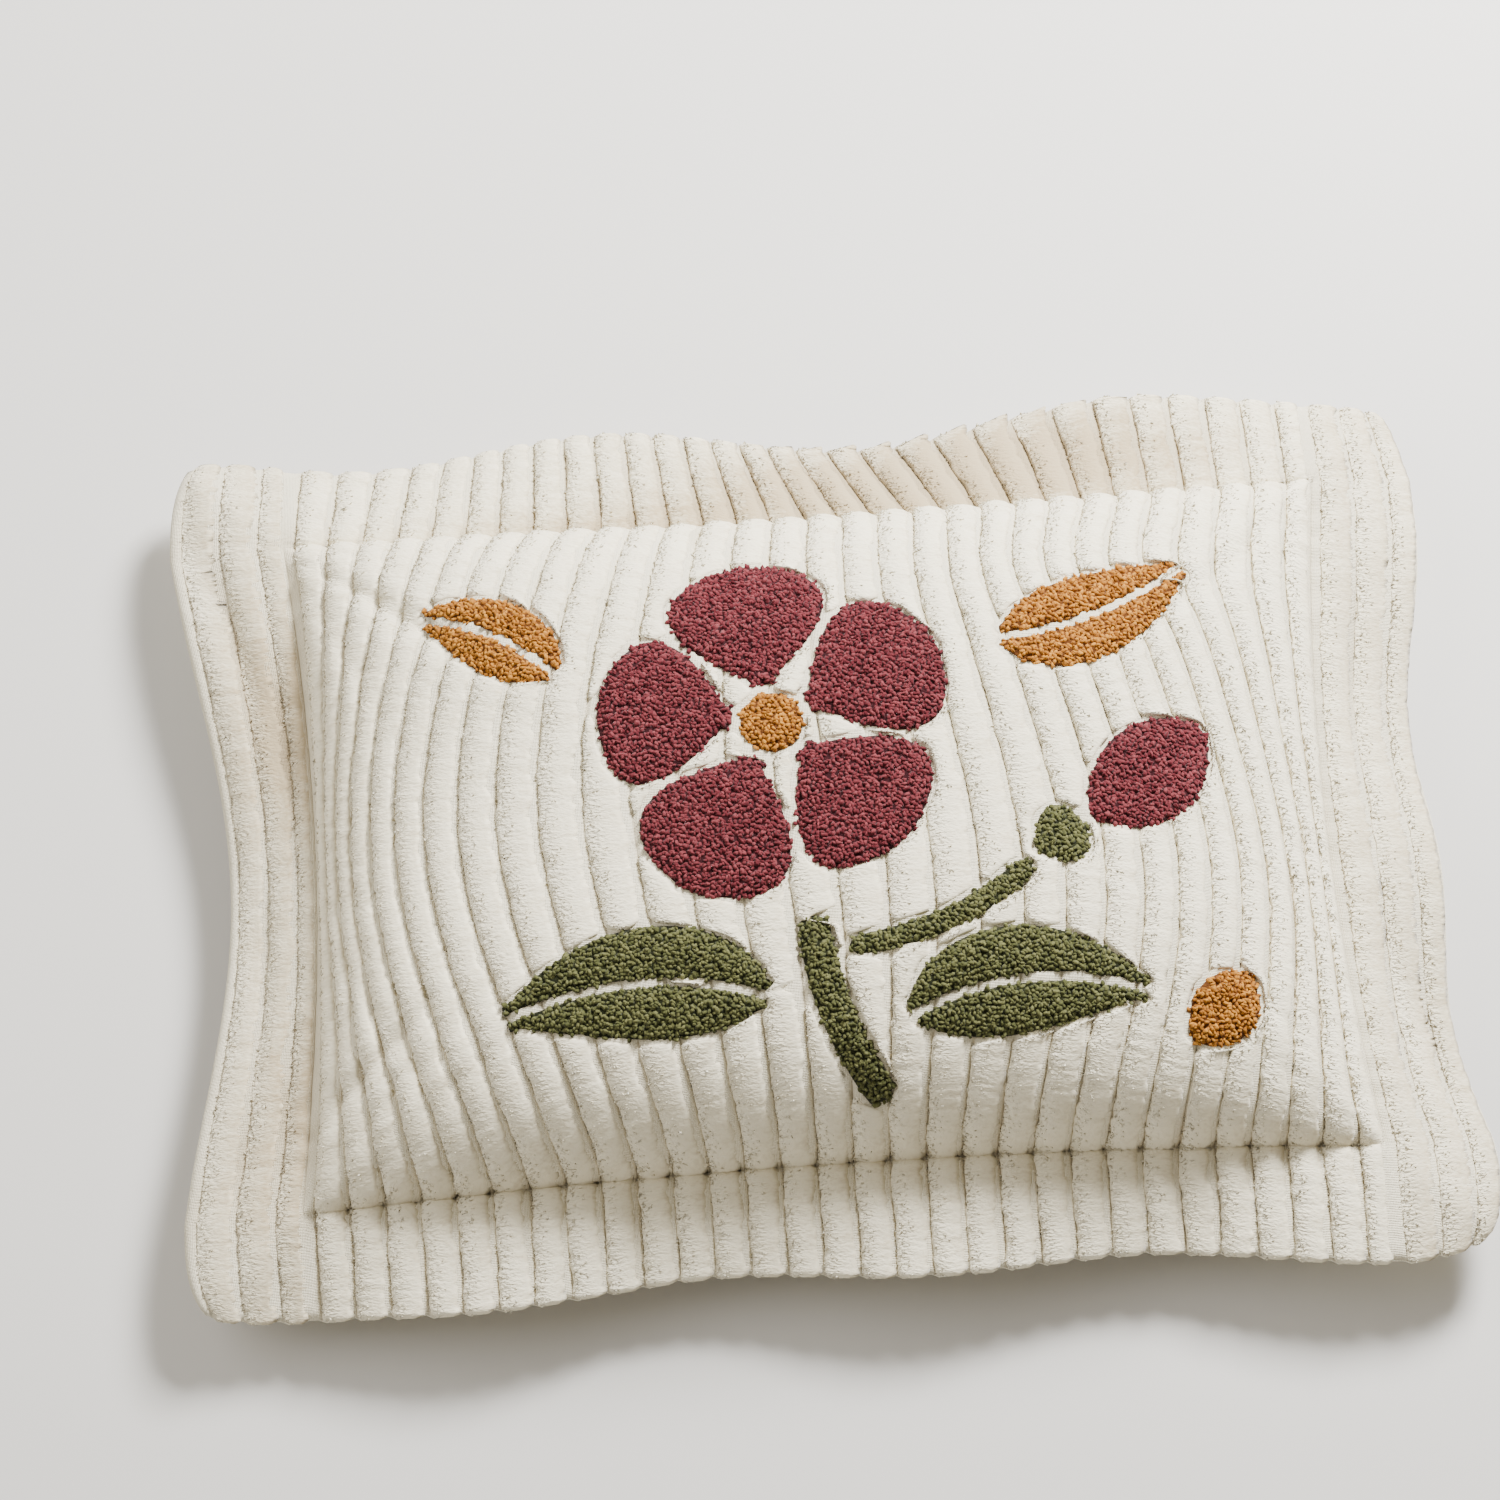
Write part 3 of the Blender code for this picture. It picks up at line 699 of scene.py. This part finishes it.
ribs = {
    "pitch": 0.0254, "step": 0.0017, "bareMargin": 0.0025, "hemReach": 0.0032, "seed": 11,
    # the low roll of pile, which fades out towards the next line: places across it from its
    # own line where the ribs stand a pitch apart, heights over the puff, and how white they are, as painted
    # shade darker at the line and towards the next line
    "across": (-0.0004, 0.0000, 0.0010, 0.0030, 0.0070, 0.0120, 0.0175, 0.0225),
    "heights": (-0.0006, 0.0009, 0.0019, 0.0023, 0.0020, 0.0014, 0.0007, -0.0004),
    "tips": (0.34, 0.55, 0.80, 0.84, 0.68, 0.50, 0.36, 0.28),
    # steps in which the span clear of pads is felt for, and the least that is worth a roll
    "spanStep": 0.0020, "spanReach": 1.4, "spanSmooth": 3, "leastSpan": 0.0040,
    # unevenness along a roll: pairs of share and stations averaged, and the widths allowed
    "swayMix": ((0.6, 5), (0.8, 25)), "widthMix": ((0.02, 4), (0.03, 18)),
    "heightMix": ((0.07, 3), (0.08, 22)), "toneMix": 0.09, "widths": (0.92, 1.08),
    "capWidth": 0.30, "leastWidth": 0.15,
    "flangeShare": 0.36, "flangeLine": 0.36,
    "lineFromMiddle": -0.0045, "sway": 0.0006, "roughness": 0.00032, "capReach": 0.0040,
    "seamGap": 0.0012, "hemMound": 0.0030, "moundMiddle": 0.0042, "moundReach": 0.0048,
    # painted shade on the pile where the flange is shaded, and a set dulling on the side flanges
    "paintedShadeOnPile": 1.4, "sideDulling": 0.40,
    "pinch": 0.45, "pinchReach": 0.004,
    # the line in the ground cloth beside it, and the soft puff up to the next rib
    "lineDepth": 0.0018, "lineReach": 0.0010, "puff": 0.0026,
    # feathery yarn ends that stand out of the roll, thickest along the line
    "featherStep": 0.00075, "featherLong": 0.0015, "featherSlim": 0.0005, "featherHeight": 0.0014,
    "featherSpin": 0.45, "featherFrom": -0.0010, "featherTo": 0.0115, "featherLean": 0.8,
    "featherSink": 0.0005,
}
padEdge = 0.001                    # the ground lies flat this far round a pad
hemEdge = 0.001                    # a row of the grid this near the hem is its last
ribCount = round(cover["width"] / ribs["pitch"])
ribLines = -cover["width"] / 2 + (np.arange(ribCount) + 0.5) * ribs["pitch"] + ribs["lineFromMiddle"]


def clearOfPads(u, v, margin):
    # true where a place lies outside every pad and its bare margin
    clear = np.ones(len(u), dtype=bool)
    for outline in outlines.values():
        low, high = outline.min(axis=0) - margin, outline.max(axis=0) + margin
        near = (u > low[0]) & (u < high[0]) & (v > low[1]) & (v < high[1])
        hidden = insideOutline(u[near], v[near], outline)
        clear[near] &= ~hidden & (fromOutline(u[near], v[near], outline) > margin)
    return clear


def coverColumns():
    # grid columns: round each rib's line, between the lines, and close beside the seams
    offsets = np.array([-0.0026, -0.0011, 0, 0.0011, 0.0030, 0.0072, 0.0114, 0.0176])
    byRibs = (ribLines[:, None] + offsets).ravel()
    bySeam = seamU + np.array([-0.0062, -0.0030, -0.0012, 0, 0.0012, 0.0032])
    columns = np.concatenate([byRibs, bySeam, -bySeam, [-cover["width"] / 2, cover["width"] / 2]])
    columns = np.unique(np.round(columns[np.abs(columns) <= cover["width"] / 2], 5))
    wide = np.concatenate([[True], np.diff(columns) > 0.0004])
    return columns[wide]


def coverRows():
    # grid rows: even on the flange, closing up at the seam
    panel = crowdedLine(np.linspace(-1, 1, cover["panelRows"] + 1), seamV)
    flange = np.linspace(seamV, cover["depth"] / 2, cover["flangeRows"] + 1)[1:]
    return np.concatenate([-flange[::-1], panel, flange])


def besideLine(column, middle, reach):
    # 1 at a place beside each rib's line, falling to 0 on both sides as a Gaussian
    away = (column - ribLines[0] - middle + ribs["pitch"] / 2) % ribs["pitch"] - ribs["pitch"] / 2
    return np.exp(-((away / reach) ** 2))


def lineShare(column):
    # the fine line itself
    return besideLine(column, 0, ribs["lineReach"])


def lineStrength(column):
    # the lines are fainter on the side flanges
    return np.where(np.abs(column) > seamU, ribs["flangeLine"], 1)


def groundRelief(column):
    # a half sine puff from line to line, less the fine line itself
    share = ((column - ribLines[0]) % ribs["pitch"]) / ribs["pitch"]
    line = ribs["lineDepth"] * lineShare(column) * lineStrength(column)
    return ribs["puff"] * np.sin(math.pi * share) - line


def hemMounds(column, v):
    # at the hem the cloth reaches out over each roll, as a Gaussian across it
    atHem = np.abs(v) > cover["depth"] / 2 - hemEdge
    mound = besideLine(column, ribs["moundMiddle"], ribs["moundReach"])
    return v + np.sign(v) * atHem * ribs["hemMound"] * mound


def paintedFlangeShade(u, v):
    # painted shade: a sum of broad Gaussians of tint, kept to the flange
    tint = np.zeros_like(u)
    for shade in paintedShades:
        offU, offV = (u - shade["u"]) / shade["wide"], (v - shade["v"]) / shade["tall"]
        tint = tint + shade["tint"] * np.exp(-(offU**2) - offV**2)
    return tint * (fromSeam(u, v) > 0)


def paintedShadeAndSideDulling(u, v):
    # how much less white the pile is: painted shade where the flange is shaded, and a set dulling on its
    # two sides
    return ribs["paintedShadeOnPile"] * paintedFlangeShade(u, v) + ribs["sideDulling"] * (np.abs(u) > seamU)


def makeCover():
    column, v = np.meshgrid(coverColumns(), coverRows())
    u = column + drift(column, v)
    v = hemMounds(column, v)
    bare = clearOfPads(u.ravel(), v.ravel(), padEdge).reshape(u.shape)
    inHem = np.abs(v) < cover["depth"] / 2 - hemEdge
    relief = groundRelief(column) * bare * inHem * (np.abs(column) < cover["width"] / 2)
    front = frontCloth(u, v) + clothAxes(u, v)[2] * relief[..., None]
    backU = np.where(np.abs(v) < seamV, column, u)
    piece = closedBetween("sham_cover", front, backCloth(backU, v))
    places = np.concatenate([
        np.stack([u, v], axis=-1).reshape(-1, 2), np.stack([backU, v], axis=-1).reshape(-1, 2),
    ])
    addClothMap(piece, places)
    # painted shade on the ground: near the seam, in folds and creases, in the ribs' lines and where the
    # flange is shaded; the back takes the seam's share
    nearSeam = np.exp(-np.abs(fromSeam(u, v)) / paintedShadeTint["seamReach"]) * paintedShadeTint["seam"]
    inFold = np.clip(troughDepth(u, v, creases + flangeFolds) / paintedShadeTint["fullDepth"], 0, 1)
    onLine = lineShare(column) * lineStrength(column) * bare
    paintedShade = inFold * paintedShadeTint["crease"] + nearSeam + onLine * paintedShadeTint["line"] + paintedFlangeShade(u, v)
    addTone(piece, np.concatenate([paintedShade.ravel(), nearSeam.ravel()]), "paintedShade")
    piece.data.materials.append(groundFinish("groundCloth", groundCloth))
    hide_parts("sham")
    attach(piece, "root")


makeCover()
print("cover made", round(time.time() - startTime, 1))


# chenille ribs: a low soft roll of pile from each line to the next, with feathery yarn ends

def onRoll(u, v, heading, offset):
    # places on the flat cloth at an offset to the right of the line
    return u + heading[..., 1] * offset, v - heading[..., 0] * offset


def freeSpan(u, v, heading):
    # from where to where the cloth right of a line is clear of the pads, averaged along it
    offsets = np.arange(0, ribs["spanReach"] * ribs["pitch"], ribs["spanStep"])
    clear = np.stack([
        clearOfPads(*onRoll(u, v, heading, offset), ribs["bareMargin"]) for offset in offsets
    ])
    first = np.argmax(clear, axis=0)
    beyond = ~clear & (np.arange(len(offsets))[:, None] > first)
    last = np.where(beyond.any(axis=0), np.argmax(beyond, axis=0) - 1, len(offsets) - 1)
    kernel = np.hanning(2 * ribs["spanSmooth"] + 3)[1:-1]
    kernel = kernel / kernel.sum()
    padded = (np.pad(offsets[edge], ribs["spanSmooth"], mode="edge") for edge in (first, last))
    near, far = (np.convolve(edge, kernel, mode="valid") for edge in padded)
    return near, far, clear.any(axis=0) & (far - near > ribs["leastSpan"])


def ribTracks():
    # each rib's bowed run over the cloth, at even steps of arc length, cut at the pads, with
    # its spread, the share of a pitch up to the next line, and the clear span beside it
    end = cover["depth"] / 2 + ribs["hemReach"]
    fineV = np.linspace(-end, end, 1400)
    tracks = []
    for line in ribLines:
        fineU = line + drift(np.full_like(fineV, line), fineV)
        lengths = np.linalg.norm(np.diff(frontCloth(fineU, fineV), axis=0), axis=1)
        travelled = np.concatenate([[0], np.cumsum(lengths)])
        stops = np.linspace(0, travelled[-1], round(travelled[-1] / ribs["step"]) + 1)
        u, v = np.interp(stops, travelled, fineU), np.interp(stops, travelled, fineV)
        heading = np.gradient(np.stack([u, v], axis=-1), axis=0)
        heading /= np.linalg.norm(heading, axis=1, keepdims=True)
        nextLine = line + ribs["pitch"] + drift(np.full_like(fineV, line + ribs["pitch"]), fineV)
        spread = np.interp(stops, travelled, (nextLine - fineU) / ribs["pitch"]) * heading[:, 1]
        near, far, clear = freeSpan(u, v, heading)
        ends = np.flatnonzero(np.diff(np.concatenate([[0], clear.astype(int), [0]])))
        for first, last in zip(ends[::2], ends[1::2]):
            if last - first > 5:
                tracks.append([values[first:last] for values in (u, v, heading, spread, near, far)])
    return tracks


def smoothDraws(draws, count, reach):
    # random numbers averaged over a few neighbours, back at a spread of about 1
    kernel = np.hanning(reach + 2)[1:-1]
    raw = draws.normal(0, 1, count + reach - 1)
    return np.convolve(raw, kernel / np.sqrt((kernel**2).sum()), mode="valid")


def mixedDraws(draws, count, mix, middle=0):
    # such numbers of several reaches, each times its share, about a middle
    return sum((share * smoothDraws(draws, count, reach) for share, reach in mix), middle)


def rollForm(u, v, spread, near, far, draws):
    # sideways sway, width, height and end cap along one roll: uneven, and round at its ends
    count = len(u)
    sway = ribs["sway"] * mixedDraws(draws, count, ribs["swayMix"])
    width = mixedDraws(draws, count, ribs["widthMix"], middle=1)
    height = mixedDraws(draws, count, ribs["heightMix"], middle=1)
    pinched = 1 - ribs["pinch"] * np.exp(-((fromSeam(u, v) / ribs["pinchReach"]) ** 2))
    pinched = pinched * np.where(np.abs(u) > seamU, ribs["flangeShare"], 1)
    fromEnd = np.minimum(np.arange(count), np.arange(count)[::-1]) * ribs["step"]
    cap = np.sqrt(1 - np.clip(1 - fromEnd / ribs["capReach"], 0, 0.97) ** 2)
    # a roll that would reach over a pad, a side seam or the edge is narrowed to end beside it
    full = ribs["across"][-1]
    edgeAhead = np.where(u < -seamU, -seamU, np.where(u < seamU, seamU, cover["width"] / 2))
    reach = np.minimum(np.clip(width, *ribs["widths"]) * spread * full, far)
    reach = np.minimum(reach, edgeAhead - ribs["seamGap"] - u)
    width = np.maximum((reach - near) / full, ribs["leastWidth"])
    rounded = ribs["capWidth"] + (1 - ribs["capWidth"]) * cap
    sway = sway * (width > 0.4) + near + width * (1 - rounded) * full / 2
    return sway, width * rounded, np.clip(height, 0.7, 1.4) * pinched * cap, cap, spread


def puffAt(offset, spread):
    # the ground's half sine puff at an offset to the right of a line
    return ribs["puff"] * np.sin(math.pi * np.clip(offset / spread / ribs["pitch"], 0, 1))


def rollPoints(u, v, heading, form, draws):
    # the roll's cross section swept along its track, each point on the cloth plus height
    sway, width, height, cap, spread = (values[:, None] for values in form)
    offset = np.array(ribs["across"])[None, :] * width + sway
    rise = np.array(ribs["heights"])[None, :] * height + puffAt(offset, spread) * cap
    fading = np.linspace(1, 0.3, len(ribs["across"]))
    rise = rise + draws.normal(0, ribs["roughness"], rise.shape) * fading
    placeU, placeV = onRoll(u[:, None], v[:, None], heading[:, None, :], offset)
    out = clothAxes(placeU, placeV)[2]
    return frontCloth(placeU, placeV) + out * rise[..., None], np.stack([placeU, placeV], axis=-1)


def loftCorners(stations, section, first):
    # quads round a closed section from station to station, and a cap at each end
    index = first + np.arange(stations * section).reshape(stations, section)
    turned = np.roll(index, -1, axis=1)
    quads = np.stack([index[:-1], index[1:], turned[1:], turned[:-1]], axis=-1).reshape(-1, 4)
    corners = np.concatenate([quads.ravel(), index[0], index[-1][::-1]])
    return corners, np.concatenate([np.full(len(quads), 4), [section, section]])


def featherFeet(u, v, heading, form, draws):
    # yarn ends strewn over one roll: a place, a height above the cloth and a side for each
    count = round(len(u) * ribs["step"] / ribs["featherStep"])
    along = draws.uniform(0, len(u) - 1, count)
    share = draws.beta(1.0, 2.0, count)
    station = np.arange(len(u))
    sway, width, height, cap, spread = (np.interp(along, station, values) for values in form)
    across = ribs["featherFrom"] + (ribs["featherTo"] - ribs["featherFrom"]) * share
    rise = np.interp(across, ribs["across"], ribs["heights"]) * height - ribs["featherSink"]
    rise = rise + puffAt(across * width + sway, spread) * cap
    turned = np.stack([np.interp(along, station, heading[:, axis]) for axis in (0, 1)], axis=-1)
    placeU, placeV = onRoll(
        np.interp(along, station, u), np.interp(along, station, v), turned, across * width + sway
    )
    return np.column_stack([placeU, placeV, rise, share])


def makeRibs():
    draws = np.random.default_rng(ribs["seed"])
    tracks = ribTracks()
    section = len(ribs["across"])
    for side in ("left", "right"):
        points, places, corners, sizes, tones, feet = [], [], [], [], [], []
        first = 0
        for u, v, heading, spread, near, far in tracks:
            if (u.mean() < 0) != (side == "left"):
                continue
            form = rollForm(u, v, spread, near, far, draws)
            trackPoints, trackPlaces = rollPoints(u, v, heading, form, draws)
            points.append(trackPoints.reshape(-1, 3))
            places.append(trackPlaces.reshape(-1, 2))
            trackCorners, trackSizes = loftCorners(len(u), section, first)
            corners.append(trackCorners)
            sizes.append(trackSizes)
            # each roll's tone, less its painted shade and its side dulling
            tone = 0.5 + ribs["toneMix"] * smoothDraws(draws, len(u), 3) - paintedShadeAndSideDulling(u, v)
            tones.append(np.repeat(tone, section))
            feet.append(featherFeet(u, v, heading, form, draws))
            first += len(u) * section
        whole = (np.concatenate(parts) for parts in (points, corners, sizes))
        piece = putMesh(f"chenille_ribs_{side}", *whole)
        addTone(piece, np.concatenate(tones))
        addTone(piece, np.tile(ribs["tips"], first // section), "tip")
        addClothMap(piece, np.concatenate(places))
        finishRib(piece)
        plantFeathers(f"rib_feathers_{side}", np.concatenate(feet), draws)


def plantFeathers(name, feet, draws):
    # small cones of pile, which lean back over the line where they stand near it
    u, v, rise, share = feet.T
    axes = clothAxes(u, v)
    size = draws.uniform(0.7, 1.3, (len(u), 2)) * (ribs["featherLong"], ribs["featherSlim"])
    lean = np.column_stack([
        ribs["featherLean"] * (share * 2 - 0.9) + draws.normal(0, 0.45, len(u)),
        draws.normal(0, 0.55, len(u)),
    ])
    # the feathers take the same painted shade and side dulling as the rolls
    piece = plantTufts(
        name, tuftTemplate(5, ((1.0, 0.0),)), frontCloth(u, v) + axes[2] * rise[:, None], axes,
        size, draws.uniform(0.6, 1.3, len(u)) * ribs["featherHeight"],
        draws.normal(0.3, ribs["featherSpin"], len(u)), lean, 0.18, draws, lowTip=0.45,
        darkenedBy=paintedShadeAndSideDulling(u, v),
    )
    addClothMap(piece, np.repeat(np.column_stack([u, v]), len(piece.data.vertices) // len(u), axis=0))
    finishRib(piece)


def finishRib(piece):
    piece.data.materials.append(piles["cream"])
    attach(piece, "root")
    print(piece.name, len(piece.data.polygons), "faces")


def makeStitches():
    # short stitches in a row just outside the seam, each as long as it is far from round
    outU, outV = seamU + seam["outside"], seamV + seam["outside"]
    alongU = np.arange(-outU, outU, seam["stitchPitch"])
    alongV = np.arange(-outV, outV, seam["stitchPitch"])
    u = np.concatenate([alongU, alongU, np.full(len(alongV), -outU), np.full(len(alongV), outU)])
    v = np.concatenate([np.full(len(alongU), -outV), np.full(len(alongU), outV), alongV, alongV])
    sideways = np.arange(len(u)) < 2 * len(alongU)
    long, slim = seam["stitch"] / 2, seam["stitchRadius"]
    radii = np.where(sideways[:, None], (long, slim), (slim, long))
    piece = plantTufts(
        "seam_stitches", tuftTemplate(6, ((0.9, -0.3), (1.0, 0.3))), frontCloth(u, v), clothAxes(u, v),
        radii, np.full(len(u), seam["stitchRadius"] * 2), np.zeros(len(u)), np.zeros((len(u), 2)), 0.05,
        np.random.default_rng(seam["seed"]), lowTip=0.3,
    )
    addClothMap(piece, np.repeat(np.column_stack([u, v]), len(piece.data.vertices) // len(u), axis=0))
    finishRib(piece)


makeRibs()
makeStitches()
print("ribs and stitches made", round(time.time() - startTime, 1))


# tufted patches: a smooth foot under each pad, and grains of pile planted all over it

patches = {
    "foot": 0.0030, "edgeReach": 0.0045, "spacing": 0.0028, "jitter": 0.34, "sink": 0.0010,
    "radius": 0.0020, "height": 0.0040, "seed": 23, "lean": 0.30, "gap": 0.0002,
    "rag": 0.0008,
}


def footRise(distance):
    # the foot's thickness climbs from its edge as 1 - e^(-d/reach)
    return patches["foot"] * (1 - np.exp(-distance / patches["edgeReach"]))


def makeFoot(name, pad, outline):
    places = padPlaces(pad, 36, 12)
    u, v = places[..., 0], places[..., 1]
    distance = fromOutline(u.ravel(), v.ravel(), outline).reshape(u.shape)
    base, out = frontCloth(u, v), clothAxes(u, v)[2]
    upper = base + out * (patches["gap"] + 0.0006 + footRise(distance))[..., None]
    foot = closedBetween(f"{name}_foot", upper, base + out * patches["gap"])
    # the foot takes the darkest colour of its yarn: painted shade in the gaps between the grains
    addTone(foot, np.zeros(2 * u.size))
    addTone(foot, np.zeros(2 * u.size), "tip")
    foot.data.materials.append(piles[pad["yarn"]])
    return foot


def grainPlaces(outline, draws):
    # a jittered hexagonal grid over the outline's box, kept where it lies inside
    spacing = patches["spacing"]
    low, high = outline.min(axis=0), outline.max(axis=0)
    rows = np.arange(low[1], high[1], spacing * 0.866)
    columns = np.arange(low[0] - spacing, high[0] + spacing, spacing)
    u, v = np.meshgrid(columns, rows)
    u = u + (np.arange(len(rows)) % 2)[:, None] * spacing / 2
    u = (u + draws.uniform(-1, 1, u.shape) * patches["jitter"] * spacing).ravel()
    v = (v + draws.uniform(-1, 1, v.shape) * patches["jitter"] * spacing).ravel()
    # short sine waves make the patch's edge ragged
    ragU = patches["rag"] * (np.sin(v * 760 + 2 * np.sin(u * 310)) + 0.6 * np.sin(v * 1490 + 1))
    ragV = patches["rag"] * (np.sin(u * 820 + 2 * np.sin(v * 290)) + 0.6 * np.sin(u * 1370 + 2))
    keep = insideOutline(u + ragU, v + ragV, outline)
    return u[keep], v[keep]


def joinPieces(name, pieces):
    bpy.ops.object.select_all(action="DESELECT")
    for piece in pieces:
        piece.select_set(True)
    bpy.context.view_layer.objects.active = pieces[0]
    bpy.ops.object.join()
    pieces[0].name = name
    pieces[0].data.name = name
    return pieces[0]


def makePatches(yarn, draws):
    names = [name for name, pad in pads.items() if pad["yarn"] == yarn]
    template = tuftTemplate(6, ((0.80, -0.15), (1.0, 0.45)))
    pieces = []
    for name in names:
        outline = outlines[name]
        u, v = grainPlaces(outline, draws)
        distance = fromOutline(u, v, outline)
        across, along, out = clothAxes(u, v)
        feet = frontCloth(u, v) + out * (footRise(distance) + patches["gap"] - patches["sink"])[:, None]
        size = draws.uniform(0.80, 1.25, len(u)) * patches["radius"]
        radii = np.column_stack([size * draws.uniform(1.0, 1.35, len(u)), size * 0.72])
        heights = patches["height"] * draws.uniform(0.75, 1.25, len(u))
        lean = draws.normal(0, patches["lean"], (len(u), 2))
        grains = plantTufts(
            f"{name}_pile", template, feet, (across, along, out), radii, heights,
            draws.uniform(0, math.pi, len(u)), lean, 0.16, draws,
        )
        grains.data.materials.append(piles[yarn])
        pieces += [makeFoot(name, pads[name], outline), grains]
    patch = joinPieces(f"tufted_{yarn}", pieces)
    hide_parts(*names)
    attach(patch, "root")
    print(patch.name, len(patch.data.polygons), "faces")


patchDraws = np.random.default_rng(patches["seed"])
for yarn in ("raspberry", "green", "gold"):
    makePatches(yarn, patchDraws)
print("patches made", round(time.time() - startTime, 1))


# stage, light and camera

studio = {
    "floorColour": (0.70, 0.69, 0.67), "floorSize": 14.0, "worldLight": 0.38,
    "worldColour": (1.0, 0.91, 0.75),
    "photoSize": 1500, "pixelsPerMetre": 1385.0, "centrePixel": (820, 838),
    "distance": 3.4, "elevation": 70.0, "roll": 3.75, "sensor": 36.0,
}
lamps = {
    "key": {"place": (1.3, 1.8, 1.9), "size": 0.9, "power": 315, "colour": (1.0, 0.99, 0.975)},
    "fill": {"place": (-1.9, 0.6, 1.8), "size": 2.4, "power": 44, "colour": (1.0, 0.98, 0.95)},
}


def makeFloor():
    half = studio["floorSize"] / 2
    mesh = bpy.data.meshes.new("floor")
    corners = [(-half, -half, 0), (half, -half, 0), (half, half, 0), (-half, half, 0)]
    mesh.from_pydata(corners, [], [(0, 1, 2, 3)])
    floor = bpy.data.objects.new("floor", mesh)
    bpy.context.scene.collection.objects.link(floor)
    material, _, _, shader = newFinish("paleFloor")
    shader.inputs["Base Color"].default_value = (*studio["floorColour"], 1)
    shader.inputs["Roughness"].default_value = 0.85
    mesh.materials.append(material)


def makeLights():
    for name, lamp in lamps.items():
        light = bpy.data.lights.new(name, "AREA")
        light.size = lamp["size"]
        light.energy = lamp["power"]
        light.color = lamp["colour"]
        holder = bpy.data.objects.new(name, light)
        bpy.context.scene.collection.objects.link(holder)
        holder.location = lamp["place"]
        aim = Vector((0, 0, 0.1)) - Vector(lamp["place"])
        holder.rotation_euler = aim.to_track_quat("-Z", "Y").to_euler()
    world = bpy.data.worlds.new("studio")
    world.use_nodes = True
    sky = world.node_tree.nodes["Background"]
    sky.inputs["Color"].default_value = (*studio["worldColour"], 1)
    sky.inputs["Strength"].default_value = studio["worldLight"]
    bpy.context.scene.world = world


def makeCamera():
    # the sham's middle is set at its pixel by aiming beside it, across the view plane
    rise = math.radians(studio["elevation"])
    back = Vector((0, -math.cos(rise), math.sin(rise)))
    right = Vector((1, 0, 0))
    turned = Matrix.Rotation(-math.radians(studio["roll"]), 3, back)
    right = turned @ right
    up = back.cross(right)
    half = studio["photoSize"] / 2
    offRight = (studio["centrePixel"][0] - half) / studio["pixelsPerMetre"]
    offDown = (studio["centrePixel"][1] - half) / studio["pixelsPerMetre"]
    middle = Vector((0, 0, filling["seamHeight"]))
    aim = middle - right * offRight + up * offDown
    camera = bpy.data.objects.new("camera", bpy.data.cameras.new("camera"))
    bpy.context.scene.collection.objects.link(camera)
    camera.data.sensor_width = studio["sensor"]
    seenWidth = studio["photoSize"] / studio["pixelsPerMetre"]
    camera.data.lens = studio["sensor"] * studio["distance"] / seenWidth
    camera.matrix_world = Matrix.Translation(aim + back * studio["distance"]) @ Matrix(
        (right, up, back)).transposed().to_4x4()
    bpy.context.scene.camera = camera


makeFloor()
makeLights()
makeCamera()
print("stage set", round(time.time() - startTime, 1))
